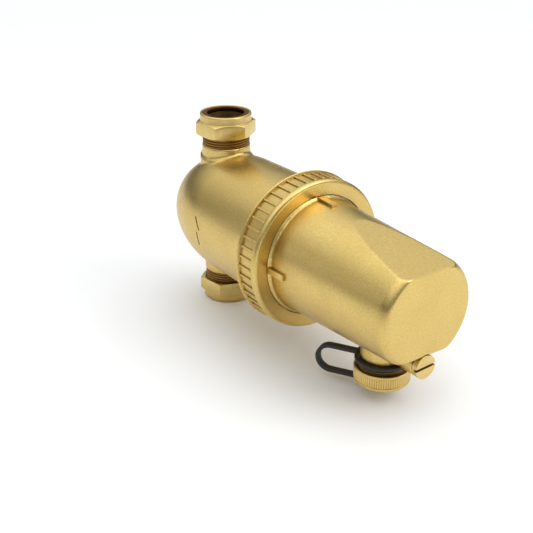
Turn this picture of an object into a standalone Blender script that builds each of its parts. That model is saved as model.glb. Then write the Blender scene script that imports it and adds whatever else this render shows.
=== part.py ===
"""Magnetic system filter for a 22 mm heating pipe, as an assembly of separate pieces.

The origin is where the vertical pipe line crosses the filter's own horizontal axis.
+Z is up along the pipe, and the canister points to -Y.
"""
import math

import bmesh
import bpy
from mathutils import Matrix, Vector

MM = 0.001
GAP = 0.3 * MM                      # room kept between neighbours that touch
OVERRUN = 1.0 * MM                  # cutters beyond the face that they cut

# Compression ports on the pipe line
PIPE_R = 11.0 * MM                  # outside radius of the copper pipe
PIPE_FIT = 0.15 * MM                # room round the pipe
PORT_RISE = 23.7 * MM               # barrel to the rim of each nut
PIPE_INSERT = 21.5 * MM             # nut rim to the pipe stop
WATERWAY_STEP = 2.0 * MM            # height of the pipe stop
NECK_WALL = 2.0 * MM                # wall of the neck behind its thread
NECK_THREAD_DEPTH = 0.9 * MM
NECK_THREAD_PITCH = 1.5 * MM
NECK_THREAD_LENGTH = 12.0 * MM
NECK_MOUTH_SETBACK = 7.5 * MM       # nut rim to the neck's mouth
NECK_SINK = 2.5 * MM                # foot of the neck inside the barrel's bore
NECK_DRAFT = 0.4 * MM
OLIVE_SEAT_RISE = 1.5 * MM
OLIVE_SEAT_LENGTH = 2.4 * MM
PORT_BOSS_FLARE = 2.0 * MM          # cast boss beyond the neck
PORT_BOSS_RISE = 0.8 * MM           # start of the boss above the barrel
NUT_LENGTH = 13.1 * MM
NUT_COLLAR_LENGTH = 4.7 * MM
NUT_COLLAR_WALL = 4.15 * MM         # rim width round the bore
NUT_HEX_STAND_OFF = 0.3 * MM        # hexagon flats beyond the collar
NUT_CHAMFER = 1.5 * MM
NUT_EDGE = 0.6 * MM
NUT_THREAD_FIT = 0.4 * MM
NUT_CONE_SETBACK = 3.2 * MM         # neck's mouth to the nut's cone
NUT_CONE_LENGTH = 2.6 * MM
INLET_NUT_TURN = math.radians(6.0)
OUTLET_NUT_TURN = math.radians(-9.0)
OLIVE_LENGTH = 5.6 * MM
OLIVE_WALL = 1.25 * MM
OLIVE_END_WALL = 0.4 * MM
OLIVE_SEATED = 1.0 * MM             # olive inside the neck's mouth

# Rear body
BODY_R = 35.8 * MM                  # barrel radius where the dome starts
BODY_FLARE = 0.6 * MM               # growth of the barrel towards the union
BODY_WALL = 4.0 * MM
DOME_START = 19.4 * MM              # forward of the pipe line
DOME_DEPTH = 53.6 * MM
BODY_FRONT = 83.5 * MM              # sealing face, forward of the pipe line
COLLAR_RISE = 3.5 * MM              # threaded collar beyond the barrel
COLLAR_THREAD_LENGTH = 7.5 * MM
COLLAR_THREAD_PITCH = 2.5 * MM
COLLAR_THREAD_DEPTH = 1.1 * MM
COLLAR_LAND = 1.8 * MM
COLLAR_LEAD = 0.8 * MM              # sealing face to the first thread
COLLAR_RUNOUT = 0.4 * MM

# Union ring
RING_OVERLAP = 8.5 * MM             # ring behind the sealing face
RING_THREAD_FIT = 0.4 * MM
RING_WALL = 2.0 * MM                # behind the pockets
RIB_HEIGHT = 2.1 * MM
RIB_WIDTH = 1.1 * MM
RIB_COUNT = 48
RIB_SINK = 0.5 * MM                 # foot of a rib below the pocket's floor
RING_REAR_RIM = 1.4 * MM
RING_BEAD = 4.8 * MM                # rounded front shoulder
RING_BEAD_DROP = 1.0 * MM           # bead below the rear rim
RING_FACE_DROP = 2.8 * MM           # edge of the flat face below the rear rim
RING_LIP_THICKNESS = 1.8 * MM
LIP_FIT = 0.5 * MM

# Seals and retainer between body and canister
GASKET_THICKNESS = 1.7 * MM
GASKET_FIT = 0.5 * MM               # room round the spigot
RETAINER_THICKNESS = 1.6 * MM
RETAINER_SEAT = 2.0 * MM            # groove depth in the canister shoulder
RETAINER_SPLIT = 5.0 * MM
RETAINER_FIT = 0.9 * MM             # room inside the union ring
SPIGOT_FIT = 0.6 * MM
SPIGOT_LENGTH = 12.6 * MM
SPIGOT_WALL = 4.6 * MM
SPIGOT_CHAMFER = 0.6 * MM
SPIGOT_SEAL_SECTION = 2.2 * MM
SPIGOT_SEAL_SETBACK = 4.5 * MM      # flange to the seal's groove

# Canister
SHOULDER_RISE = 3.2 * MM            # shoulder beyond the spigot
SHOULDER_STEP = 1.7 * MM            # shoulder beyond the barrel behind it
SHOULDER_FLANGE = 1.3 * MM
SHOULDER_PROUD = 0.6 * MM           # shoulder forward of the ring's face
CANISTER_LENGTH = 86.5 * MM         # ring face to front face
CANISTER_DRAFT = 3.5 * MM           # loss of radius from shoulder to nose
CANISTER_FRONT_WALL = 5.0 * MM
CANISTER_NOSE_R = 5.5 * MM
FLAT_START = 31.0 * MM              # ring face to where the top flat begins
FLAT_DROP = 9.0 * MM                # fall of the flat towards the front
FLAT_WALL = 2.4 * MM
GUSSET_LENGTH = 12.0 * MM
GUSSET_WIDTH = 3.5 * MM
GUSSET_SINK = 1.0 * MM              # gusset inside the shoulder and the barrel
GUSSET_DROP = 0.5 * MM              # top of a gusset below the shoulder

# Drain below the canister
DRAIN_SETBACK = 30.8 * MM           # front face to the drain's axis
NECK_R = 12.0 * MM
NECK_ROOT_DROP = 0.6 * MM           # front edge of the lower flat to the neck's root
DRAIN_THREAD_DEPTH = 0.7 * MM
DRAIN_THREAD_PITCH = 1.5 * MM
DRAIN_THREAD_LENGTH = 7.7 * MM
DRAIN_BORE_R = 4.0 * MM
SPINDLE_BELOW_FLAT = 6.2 * MM       # front edge of the lower flat to the spindle's axis
SPINDLE_R = 4.0 * MM
SPINDLE_BOSS_WALL = 2.2 * MM
SPINDLE_HEAD_LENGTH = 3.2 * MM
SPINDLE_HEAD_PROUD = 0.5 * MM       # head forward of the front face
SPINDLE_HEAD_GAP = 0.39 * MM        # head to its boss
SPINDLE_HEAD_FIT = 0.45 * MM
SPINDLE_EDGE = 0.4 * MM
SPINDLE_CONE = 2.8 * MM             # seat to the foot of the cone
SPINDLE_TIP = 0.5 * MM              # tip beyond the seat
SPINDLE_SLOT_WIDTH = 1.5 * MM
SPINDLE_SLOT_DEPTH = 1.7 * MM
SPINDLE_SLOT_TILT = math.radians(3.0)
SPINDLE_SEAL_SECTION = 1.0 * MM
SEAT_R = 2.0 * MM
FEED_R = 1.8 * MM
FEED_SETBACK = 2.4 * MM             # seat to the edge of the feed
FEED_TOP = 16.0 * MM                # filter axis to the top of the feed
EYELET_SECTION = 3.0 * MM
EYELET_WALL = 2.4 * MM
SPINDLE_TO_EYELET = 7.7 * MM
CAP_FIT = 0.4 * MM                  # room round the drain's thread
CAP_WALL = 1.9 * MM
CAP_FLOOR = 1.6 * MM
CAP_HEIGHT = 9.3 * MM
CAP_CHAMFER = 1.2 * MM
CAP_WASHER_THICKNESS = 1.2 * MM
CAP_WASHER_FIT = 0.2 * MM
BUTTON_R = 4.0 * MM
BUTTON_SHANK_R = 2.0 * MM
BUTTON_HEAD = 1.0 * MM
TETHER_R = 1.4 * MM                 # half the strap's width
TETHER_REACH = 37.0 * MM            # drain axis to the end of the loop
TETHER_HEADING = math.radians(120.0)
TAB_THICKNESS = 1.8 * MM
TAB_WALL = 2.4 * MM                 # round the button's shank
TAB_STEP = 0.1 * MM                 # strap thinner than its tab on each side

# Inside the canister
SHEATH_R = 9.0 * MM
SHEATH_WALL = 0.8 * MM
SHEATH_EDGE = 1.5 * MM
SHEATH_SEAT = 1.2 * MM              # sheath inside the front wall
SHEATH_SOCKET_WALL = 2.7 * MM
SHEATH_SOCKET_DEPTH = 8.0 * MM
SHEATH_END = 4.0 * MM               # behind the body's sealing face
SHEATH_PLUG_LENGTH = 3.9 * MM
MAGNET_COUNT = 4
POLE_THICKNESS = 2.5 * MM
BASKET_WALL = 1.2 * MM
BASKET_FIT = 1.0 * MM
BASKET_SHOULDER = 10.0 * MM         # sealing face back to the basket's rear shoulder
BASKET_NECK_R = 13.5 * MM
BASKET_NECK_LENGTH = 10.5 * MM
BASKET_CONE = 3.5 * MM              # length of the cone behind the shoulder
BASKET_ROWS = 3
BASKET_COLUMNS = 8
BASKET_BAR = 5.0 * MM
BASKET_WINDOW_DEPTH = 8.0 * MM
BASKET_NECK_FIT = 0.4 * MM
DIVERTER_PLATE = 2.0 * MM
DIVERTER_TUBE_LENGTH = 31.0 * MM
DIVERTER_TUBE_WALL = 2.1 * MM
DIVERTER_OUTLET_WIDTH = 19.5 * MM
DIVERTER_OUTLET_SETBACK = 2.0 * MM  # basket's neck to the outlet

# Facets
BARREL_STEPS = 36
RING_STEPS = RIB_COUNT
PORT_STEPS = 26
SMALL_STEPS = 24
DOME_STEPS = 6

# Radii that follow from the sizes above
body_bore = BODY_R - BODY_WALL
body_end_r = BODY_R + BODY_FLARE
collar_r = BODY_R + COLLAR_RISE
ring_bore = collar_r + RING_THREAD_FIT
ring_pocket_r = ring_bore + RING_WALL
ring_r = ring_pocket_r + RIB_HEIGHT
spigot_r = body_bore - SPIGOT_FIT
shoulder_r = spigot_r + SHOULDER_RISE
lip_r = shoulder_r + LIP_FIT
canister_r = shoulder_r - SHOULDER_STEP
nose_r = canister_r - CANISTER_DRAFT
cavity_r = spigot_r - SPIGOT_WALL
socket_r = SHEATH_R + GAP + SHEATH_SOCKET_WALL
pipe_bore = PIPE_R + PIPE_FIT
neck_r = pipe_bore + NECK_WALL
neck_thread_r = neck_r + NECK_THREAD_DEPTH
nut_collar_r = pipe_bore + NUT_COLLAR_WALL
nut_flat_r = nut_collar_r + NUT_HEX_STAND_OFF
drain_thread_r = NECK_R + DRAIN_THREAD_DEPTH
cap_bore = drain_thread_r + CAP_FIT
cap_r = cap_bore + CAP_WALL
spindle_bore = SPINDLE_R + GAP
spindle_boss_r = spindle_bore + SPINDLE_BOSS_WALL
spindle_head_r = spindle_boss_r

# Places along the filter's axis, measured forward from the pipe line
ring_back = BODY_FRONT - RING_OVERLAP
gasket_back = BODY_FRONT + GAP
flange_back = gasket_back + GASKET_THICKNESS + GAP
groove_back = flange_back + SHOULDER_FLANGE
retainer_back = groove_back + GAP
groove_front = retainer_back + RETAINER_THICKNESS + GAP
ring_front = groove_front + RING_LIP_THICKNESS
shoulder_front = ring_front + SHOULDER_PROUD
canister_front = ring_front + CANISTER_LENGTH
cavity_front = canister_front - CANISTER_FRONT_WALL
spigot_back = flange_back - SPIGOT_LENGTH
seal_front = flange_back - SPIGOT_SEAL_SETBACK
seal_back = seal_front - SPIGOT_SEAL_SECTION - 2 * GAP
flat_back = ring_front + FLAT_START
sheath_front = cavity_front + SHEATH_SEAT
sheath_back = BODY_FRONT - SHEATH_END
drain_forward = canister_front - DRAIN_SETBACK
spindle_head_back = canister_front + SPINDLE_HEAD_PROUD - SPINDLE_HEAD_LENGTH
spindle_boss_front = spindle_head_back - SPINDLE_HEAD_GAP
spindle_seal_front = drain_forward + NECK_R
spindle_seal_back = spindle_seal_front - SPINDLE_SEAL_SECTION - 2 * GAP
basket_shoulder = BODY_FRONT - BASKET_SHOULDER
diverter_front = basket_shoulder - BASKET_CONE - GAP

# Places measured down from the filter's axis
flat_back_height = canister_r - CANISTER_DRAFT * FLAT_START / CANISTER_LENGTH
flat_front_height = flat_back_height - FLAT_DROP
cone_r = min(cavity_r, flat_front_height - FLAT_WALL)
spindle_down = flat_front_height + SPINDLE_BELOW_FLAT
eyelet_top = spindle_down + SPINDLE_TO_EYELET
thread_top = eyelet_top + EYELET_SECTION + GAP
neck_end = thread_top + DRAIN_THREAD_LENGTH
washer_top = neck_end + GAP
cap_floor_top = washer_top + CAP_WASHER_THICKNESS + GAP
cap_end = cap_floor_top + CAP_FLOOR
cap_rim = cap_end - CAP_HEIGHT
tab_top = cap_end + GAP
tab_end = tab_top + TAB_THICKNESS

# Places measured along the pipe from the filter's axis
port_reach = BODY_R + PORT_RISE
nut_back = port_reach - NUT_LENGTH
neck_mouth = port_reach - NECK_MOUTH_SETBACK
neck_thread_back = neck_mouth - NECK_THREAD_LENGTH
pipe_stop = port_reach - PIPE_INSERT
nut_cone_back = neck_mouth + NUT_CONE_SETBACK
olive_back = neck_mouth - OLIVE_SEATED


def named_collection(name):
    """Return the collection of that name, made if it isn't there yet."""
    found = bpy.data.collections.get(name)
    if found is None:
        found = bpy.data.collections.new(name)
        bpy.context.scene.collection.children.link(found)
    return found


def finish(name, colour, metallic, roughness):
    """Make a plain Principled material."""
    material = bpy.data.materials.new(name)
    material.use_nodes = True
    shader = material.node_tree.nodes["Principled BSDF"]
    shader.inputs["Base Color"].default_value = (*colour, 1.0)
    shader.inputs["Metallic"].default_value = metallic
    shader.inputs["Roughness"].default_value = roughness
    material.diffuse_color = (*colour, 1.0)
    return material


def axis_frame(name, location, turn):
    """Make an empty whose local Z lies on an axis of the object."""
    empty = bpy.data.objects.new(name, None)
    PARTS.objects.link(empty)
    empty.location = location
    empty.rotation_euler = (turn, 0.0, 0.0)
    return empty


def place(item, material, frame):
    """Put a piece in the object's collection, on its axis."""
    PARTS.objects.link(item)
    item.parent = frame
    if material is not None:
        item.data.materials.append(material)
    return item


def turned(name, profile, steps, material=None, frame=None):
    """Turn (radius, height) points about local Z; the outer side is listed from high to low."""
    closed = profile[0][0] > 0.0
    count = len(profile)
    edges = [(i, i + 1) for i in range(count - 1)]
    if closed:
        edges.append((count - 1, 0))
    mesh = bpy.data.meshes.new(name)
    mesh.from_pydata([(radius, 0.0, height) for radius, height in profile], edges, [])
    item = place(bpy.data.objects.new(name, mesh), material, frame)
    screw = item.modifiers.new("turn", "SCREW")
    screw.steps = steps
    screw.render_steps = steps
    screw.use_merge_vertices = True
    screw.merge_threshold = 0.01 * MM
    screw.use_smooth_shade = True
    return item


def block(name, low, high, material=None, frame=None):
    """Make a box between two opposite corners of its frame."""
    bm = bmesh.new()
    bmesh.ops.create_cube(bm, size=1.0)
    size = [abs(b - a) for a, b in zip(low, high)]
    middle = (Vector(high) + Vector(low)) / 2
    matrix = Matrix.Translation(middle) @ Matrix.Diagonal((*size, 1.0))
    bmesh.ops.transform(bm, matrix=matrix, verts=bm.verts)
    return from_bmesh(name, bm, material, frame)


def rod(name, radius, low, high, steps, material=None, frame=None):
    """Make a cylinder along local Z between two heights."""
    bm = bmesh.new()
    bmesh.ops.create_cone(
        bm, cap_ends=True, segments=steps, radius1=radius, radius2=radius, depth=high - low,
        matrix=Matrix.Translation((0.0, 0.0, (low + high) / 2)))
    return from_bmesh(name, bm, material, frame)


def from_bmesh(name, bm, material=None, frame=None):
    """Turn a bmesh into a piece."""
    mesh = bpy.data.meshes.new(name)
    bm.to_mesh(mesh)
    bm.free()
    return place(bpy.data.objects.new(name, mesh), material, frame)


def combine(target, tool, operation):
    """Cut, join or intersect a piece with a tool, which becomes a hidden guide."""
    if tool.name in PARTS.objects:
        PARTS.objects.unlink(tool)
        CUTTERS.objects.link(tool)
        tool.hide_render = True
        tool.display_type = "WIRE"
    step = target.modifiers.new(operation.lower() + " " + tool.name, "BOOLEAN")
    step.operation = operation
    step.object = tool
    step.solver = "EXACT"


def arc(centre, radii, start, end, count):
    """Points on an elliptical arc in the profile plane, from start to end in degrees."""
    points = []
    for i in range(count + 1):
        angle = math.radians(start + (end - start) * i / count)
        radius = centre[0] + radii[0] * math.cos(angle)
        points.append((max(radius, 0.0), centre[1] + radii[1] * math.sin(angle)))
    return points


def ridges(crest, depth, high, low, pitch):
    """Thread ridges between two heights, listed from high to low."""
    count = max(1, round((high - low) / pitch))
    step = (high - low) / count
    points = [(crest - depth, high)]
    for i in range(count):
        points.append((crest, high - step * (i + 0.5)))
        points.append((crest - depth, high - step * (i + 1)))
    return points


def rear_body():
    """Cast body: domed barrel, threaded collar and two compression necks."""
    thread_front = BODY_FRONT - COLLAR_LEAD
    thread_back = thread_front - COLLAR_THREAD_LENGTH
    inner = arc((0.0, DOME_START), (body_bore, DOME_DEPTH - BODY_WALL), -90, 0, DOME_STEPS)
    outer = [(collar_r - COLLAR_THREAD_DEPTH, BODY_FRONT)]
    outer += ridges(collar_r, COLLAR_THREAD_DEPTH, thread_front, thread_back, COLLAR_THREAD_PITCH)
    outer += [(collar_r, thread_back - COLLAR_RUNOUT),
              (collar_r, thread_back - COLLAR_LAND),
              (body_end_r, thread_back - COLLAR_LAND - COLLAR_RISE / 2)]
    outer += arc((0.0, DOME_START), (BODY_R, DOME_DEPTH), 0, -90, DOME_STEPS + 2)
    body = turned("rear_body", inner + [(body_bore, BODY_FRONT)] + outer, BARREL_STEPS, BRASS, MAIN)
    for name, frame in (("inlet", INLET), ("outlet", OUTLET)):
        combine(body, port_neck(name + "_neck", frame), "UNION")
    for name, frame in (("inlet", INLET), ("outlet", OUTLET)):
        combine(body, port_bore(name + "_bore", frame), "DIFFERENCE")


def port_neck(name, frame):
    """Solid neck with its thread and cast boss, before it is bored."""
    boss_r = neck_r + PORT_BOSS_FLARE
    boss_top = BODY_R + PORT_BOSS_RISE
    root = body_bore - NECK_SINK
    ridge_top = nut_back + NECK_THREAD_PITCH
    profile = [(0.0, neck_mouth), (neck_thread_r - NECK_THREAD_DEPTH, neck_mouth),
               (neck_thread_r, neck_mouth - NECK_THREAD_DEPTH),
               (neck_thread_r, ridge_top + NECK_THREAD_DEPTH)]
    profile += ridges(neck_thread_r, NECK_THREAD_DEPTH, ridge_top, neck_thread_back, NECK_THREAD_PITCH)
    profile += arc((boss_r, boss_top), (PORT_BOSS_FLARE, PORT_BOSS_FLARE), 180, 270, 4)
    profile += [(boss_r + NECK_DRAFT, root), (0.0, root)]
    return turned(name, profile, PORT_STEPS, frame=frame)


def port_bore(name, frame):
    """Waterway, pipe socket and olive seat of one port."""
    waterway_r = pipe_bore - WATERWAY_STEP
    seat_r = pipe_bore + OLIVE_SEAT_RISE
    profile = [(0.0, neck_mouth + OVERRUN),
               (seat_r, neck_mouth + OVERRUN),
               (seat_r, neck_mouth),
               (pipe_bore, neck_mouth - OLIVE_SEAT_LENGTH),
               (pipe_bore, pipe_stop),
               (waterway_r, pipe_stop),
               (waterway_r, body_bore / 2),
               (0.0, body_bore / 2)]
    return turned(name, profile, PORT_STEPS, frame=frame)


def compression_nut(name, frame, hex_turn):
    """Hexagon nut with a round collar at its rim."""
    corner_r = nut_flat_r / math.cos(math.pi / 6)
    hex_top = port_reach - NUT_COLLAR_LENGTH
    thread_room = neck_thread_r + NUT_THREAD_FIT
    profile = [(pipe_bore, port_reach),
               (nut_collar_r - NUT_EDGE, port_reach),
               (nut_collar_r, port_reach - NUT_EDGE),
               (nut_collar_r, hex_top),
               (nut_flat_r, hex_top),
               (corner_r, hex_top - NUT_CHAMFER),
               (corner_r, nut_back + NUT_CHAMFER),
               (nut_flat_r, nut_back),
               (thread_room, nut_back),
               (thread_room, nut_cone_back),
               (pipe_bore, nut_cone_back + NUT_CONE_LENGTH)]
    nut = turned(name, profile, PORT_STEPS + 8, BRASS_NUT, frame)
    hexagon = rod(name + "_hexagon", corner_r, nut_back - OVERRUN, port_reach + OVERRUN, 6, frame=frame)
    hexagon.rotation_euler = (0.0, 0.0, hex_turn)
    combine(nut, hexagon, "INTERSECT")


def olive(name, frame):
    """Compression ring that bites on the pipe."""
    crown = pipe_bore + OLIVE_WALL
    top = olive_back + OLIVE_LENGTH
    profile = [(pipe_bore, top),
               (pipe_bore + 2 * OLIVE_END_WALL, top),
               (crown, top - OLIVE_LENGTH * 0.3),
               (crown, top - OLIVE_LENGTH * 0.6),
               (pipe_bore + OLIVE_END_WALL, olive_back),
               (pipe_bore, olive_back)]
    turned(name, profile, PORT_STEPS, BRASS_NUT, frame)


def flow_diverter():
    """Plate across the body with a front wall below it and a tube for the strainer."""
    room = body_bore - GAP
    front = diverter_front
    half = DIVERTER_PLATE / 2
    tube_bore = BASKET_NECK_R + BASKET_NECK_FIT
    tube_r = tube_bore + DIVERTER_TUBE_WALL
    tube_back = front - DIVERTER_TUBE_LENGTH
    plate = block("flow_diverter", (-BODY_R, -half, -DOME_DEPTH), (BODY_R, half, front), POLYMER, MAIN)
    wall = block("diverter_wall", (-BODY_R, -BODY_R, front - DIVERTER_PLATE), (BODY_R, 0.0, front),
                 frame=MAIN)
    room_profile = [(0.0, front), (room, front)]
    room_profile += arc((0.0, DOME_START), (room, DOME_DEPTH - BODY_WALL - GAP), 0, -90, DOME_STEPS)
    chamber = turned("diverter_chamber", room_profile, BARREL_STEPS, frame=MAIN)
    tube = rod("diverter_tube", tube_r, tube_back, front, SMALL_STEPS, frame=MAIN)
    bore_back = tube_back + DIVERTER_PLATE
    bore = rod("diverter_bore", tube_bore, bore_back, front + OVERRUN, SMALL_STEPS, frame=MAIN)
    side = DIVERTER_OUTLET_WIDTH / 2
    outlet = block("diverter_outlet", (-side, -tube_r - OVERRUN, bore_back),
                   (side, -half, front - BASKET_NECK_LENGTH - DIVERTER_OUTLET_SETBACK), frame=MAIN)
    combine(plate, wall, "UNION")
    combine(plate, chamber, "INTERSECT")
    combine(plate, tube, "UNION")
    combine(plate, bore, "DIFFERENCE")
    combine(plate, outlet, "DIFFERENCE")


def union_ring():
    """Captive ring with a lip in front, a rounded shoulder and ribs for the grip."""
    bead_r = ring_r - RING_BEAD_DROP
    bead_back = ring_front - RING_BEAD
    bead_depth = bead_r - ring_pocket_r
    face_r = ring_r - RING_FACE_DROP
    profile = [(lip_r, ring_front)]
    profile += arc((face_r, ring_front - RING_BEAD / 2), (bead_r - face_r, RING_BEAD / 2), 90, 0, 3)
    profile += [(bead_r, bead_back + bead_depth),
                (ring_pocket_r, bead_back),
                (ring_pocket_r, ring_back + RING_REAR_RIM),
                (ring_r, ring_back + RING_REAR_RIM / 2),
                (ring_r - RING_REAR_RIM / 2, ring_back),
                (ring_bore, ring_back),
                (ring_bore, groove_front),
                (lip_r, groove_front)]
    ring = turned("union_ring", profile, RING_STEPS, BRASS, MAIN)
    bm = bmesh.new()
    low = ring_pocket_r - RIB_SINK
    high = bead_r
    back = ring_back + RING_REAR_RIM / 2
    front = bead_back + bead_depth / 2
    size = Matrix.Diagonal((high - low, RIB_WIDTH, front - back, 1.0))
    centre = Matrix.Translation(((high + low) / 2, 0.0, (front + back) / 2))
    for i in range(RIB_COUNT):
        turn = Matrix.Rotation(2 * math.pi * i / RIB_COUNT, 4, "Z")
        bmesh.ops.create_cube(bm, size=1.0, matrix=turn @ centre @ size)
    combine(ring, from_bmesh("ring_ribs", bm, frame=MAIN), "UNION")


def flange_gasket():
    """Flat gasket between the body's face and the canister's flange."""
    low_r = spigot_r + GASKET_FIT
    high_r = collar_r - COLLAR_THREAD_DEPTH
    front = gasket_back + GASKET_THICKNESS
    profile = [(low_r, front), (high_r, front), (high_r, gasket_back), (low_r, gasket_back)]
    turned("flange_gasket", profile, BARREL_STEPS, RUBBER, MAIN)


def retaining_ring():
    """Split ring in the shoulder's groove, which the union ring's lip pulls on."""
    low_r = shoulder_r - RETAINER_SEAT + GAP
    high_r = ring_bore - RETAINER_FIT
    front = retainer_back + RETAINER_THICKNESS
    profile = [(low_r, front), (high_r, front), (high_r, retainer_back), (low_r, retainer_back)]
    ring = turned("retaining_ring", profile, BARREL_STEPS, STEEL, MAIN)
    split = block("retainer_split", (-RETAINER_SPLIT / 2, 0.0, retainer_back - OVERRUN),
                  (RETAINER_SPLIT / 2, ring_r, front + OVERRUN), frame=MAIN)
    combine(ring, split, "DIFFERENCE")


def canister():
    """Canister: cup with shoulder, flats, drain neck and spindle boss."""
    body = turned("canister", canister_profile(), BARREL_STEPS, BRASS, MAIN)
    for side in (1, -1):
        combine(body, flat_cutter(side), "DIFFERENCE")
    combine(body, gussets(), "UNION")
    combine(body, drain_neck(), "UNION")
    boss = rod("spindle_boss", spindle_boss_r, drain_forward, spindle_boss_front, SMALL_STEPS, frame=SPINDLE)
    combine(body, boss, "UNION")
    room = rod("spindle_head_room", spindle_head_r + SPINDLE_HEAD_FIT, spindle_boss_front,
               canister_front + OVERRUN, SMALL_STEPS, frame=SPINDLE)
    combine(body, room, "DIFFERENCE")
    seat = drain_forward - DRAIN_BORE_R
    feed = seat - FEED_SETBACK - FEED_R
    bore = turned("spindle_bore", [(0.0, spindle_boss_front + OVERRUN),
                                   (spindle_bore, spindle_boss_front + OVERRUN),
                                   (spindle_bore, seat),
                                   (SEAT_R, seat),
                                   (SEAT_R, feed),
                                   (0.0, feed)], SMALL_STEPS, frame=SPINDLE)
    combine(body, bore, "DIFFERENCE")
    drain = rod("drain_bore", DRAIN_BORE_R, spindle_down, neck_end + OVERRUN, SMALL_STEPS, frame=DRAIN)
    combine(body, drain, "DIFFERENCE")
    riser = rod("drain_feed", FEED_R, FEED_TOP, spindle_down, SMALL_STEPS // 2, frame=DRAIN)
    riser.location = (0.0, feed - drain_forward, 0.0)
    combine(body, riser, "DIFFERENCE")


def canister_profile():
    """Profile of the canister's cup, from the front face round to the inside."""
    groove_r = shoulder_r - RETAINER_SEAT
    seal_groove_r = spigot_r - SPIGOT_SEAL_SECTION
    step_fillet = SHOULDER_STEP / 2
    nose = arc((nose_r - CANISTER_NOSE_R, canister_front - CANISTER_NOSE_R),
               (CANISTER_NOSE_R, CANISTER_NOSE_R), 90, 0, 4)
    root = arc((canister_r + step_fillet, shoulder_front + step_fillet), (step_fillet, step_fillet),
               180, 270, 2)
    crest = arc((shoulder_r - step_fillet / 2, shoulder_front - step_fillet / 2),
                (step_fillet / 2, step_fillet / 2), 90, 0, 2)
    return [(0.0, canister_front)] + nose + root + crest + [
        (shoulder_r, groove_front),
        (groove_r, groove_front),
        (groove_r, groove_back),
        (shoulder_r, groove_back),
        (shoulder_r, flange_back),
        (spigot_r, flange_back),
        (spigot_r, seal_front),
        (seal_groove_r, seal_front),
        (seal_groove_r, seal_back),
        (spigot_r, seal_back),
        (spigot_r, spigot_back + SPIGOT_CHAMFER),
        (spigot_r - SPIGOT_CHAMFER, spigot_back),
        (cavity_r, spigot_back),
        (cavity_r, flat_back),
        (cone_r, cavity_front),
        (socket_r, cavity_front),
        (socket_r, cavity_front - SHEATH_SOCKET_DEPTH),
        (SHEATH_R + GAP, cavity_front - SHEATH_SOCKET_DEPTH),
        (SHEATH_R + GAP, sheath_front + GAP),
        (0.0, sheath_front + GAP)]


def flat_cutter(side):
    """Block that cuts the sloping flat above or below the canister."""
    run = canister_front - flat_back
    slope = math.atan2(FLAT_DROP, run)
    length = 2 * CANISTER_LENGTH
    low = (-BODY_R, 0.0, 0.0)
    high = (BODY_R, side * BODY_R, length)
    cutter = block("top_flat_cutter" if side > 0 else "lower_flat_cutter", low, high, frame=MAIN)
    cutter.location = (0.0, side * flat_back_height, flat_back)
    cutter.rotation_euler = (side * slope, 0.0, 0.0)
    return cutter


def gussets():
    """Four ramps that stiffen the shoulder."""
    bm = bmesh.new()
    back = shoulder_front - GUSSET_SINK
    front = shoulder_front + GUSSET_LENGTH
    low = canister_r - GUSSET_SINK
    high = shoulder_r - GUSSET_DROP
    for i in range(4):
        made = bmesh.ops.create_cube(bm, size=1.0)
        for vert in made["verts"]:
            forward = front if vert.co.z > 0 else back
            outward = low
            if vert.co.x > 0:
                outward = high if vert.co.z < 0 else canister_r
            vert.co = Vector((outward, math.copysign(GUSSET_WIDTH / 2, vert.co.y), forward))
        turn = Matrix.Rotation(math.pi / 2 * i, 4, "Z")
        bmesh.ops.transform(bm, matrix=turn, verts=made["verts"])
    return from_bmesh("shoulder_gussets", bm, frame=MAIN)


def drain_neck():
    """Neck below the canister with the cap's thread."""
    root = flat_front_height + NECK_ROOT_DROP
    profile = [(0.0, neck_end)]
    profile += ridges(drain_thread_r, DRAIN_THREAD_DEPTH, neck_end, thread_top, DRAIN_THREAD_PITCH)
    profile += [(NECK_R, root), (0.0, root)]
    return turned("drain_neck", profile, PORT_STEPS, frame=DRAIN)


def seal_ring(name, inner_r, section, middle, steps, frame):
    """Round-section seal about a local Z axis."""
    ring_radius = inner_r + section / 2
    profile = arc((ring_radius, middle), (section / 2, section / 2), 90, -210, 5)
    turned(name, profile, steps, RUBBER, frame)


def strainer_basket():
    """Perforated cage between the magnet and the canister's wall."""
    bore = socket_r + GAP
    outer = cone_r - BASKET_FIT
    front = cavity_front - SHEATH_SOCKET_DEPTH / 2
    back = basket_shoulder - BASKET_CONE - BASKET_NECK_LENGTH
    neck_bore = BASKET_NECK_R - BASKET_WALL
    profile = [(bore, front),
               (outer, front),
               (outer, basket_shoulder),
               (BASKET_NECK_R, basket_shoulder - BASKET_CONE),
               (BASKET_NECK_R, back),
               (neck_bore, back),
               (neck_bore, basket_shoulder - BASKET_CONE + BASKET_WALL / 2),
               (outer - BASKET_WALL, basket_shoulder + BASKET_WALL / 2),
               (outer - BASKET_WALL, front - BASKET_WALL),
               (bore, front - BASKET_WALL)]
    basket = turned("strainer_basket", profile, 3 * BASKET_COLUMNS, STEEL, MAIN)
    pitch = (front - basket_shoulder - BASKET_BAR) / BASKET_ROWS
    width = 2 * math.pi * outer / BASKET_COLUMNS - BASKET_BAR
    bm = bmesh.new()
    for row in range(BASKET_ROWS):
        middle = basket_shoulder + BASKET_BAR + pitch * (row + 0.5) - BASKET_BAR / 2
        size = Matrix.Diagonal((BASKET_WINDOW_DEPTH, width, pitch - BASKET_BAR, 1.0))
        for column in range(BASKET_COLUMNS):
            turn = Matrix.Rotation(2 * math.pi * (column + 0.5) / BASKET_COLUMNS, 4, "Z")
            window = turn @ Matrix.Translation((outer, 0.0, middle)) @ size
            bmesh.ops.create_cube(bm, size=1.0, matrix=window)
    combine(basket, from_bmesh("basket_windows", bm, frame=MAIN), "DIFFERENCE")


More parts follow.
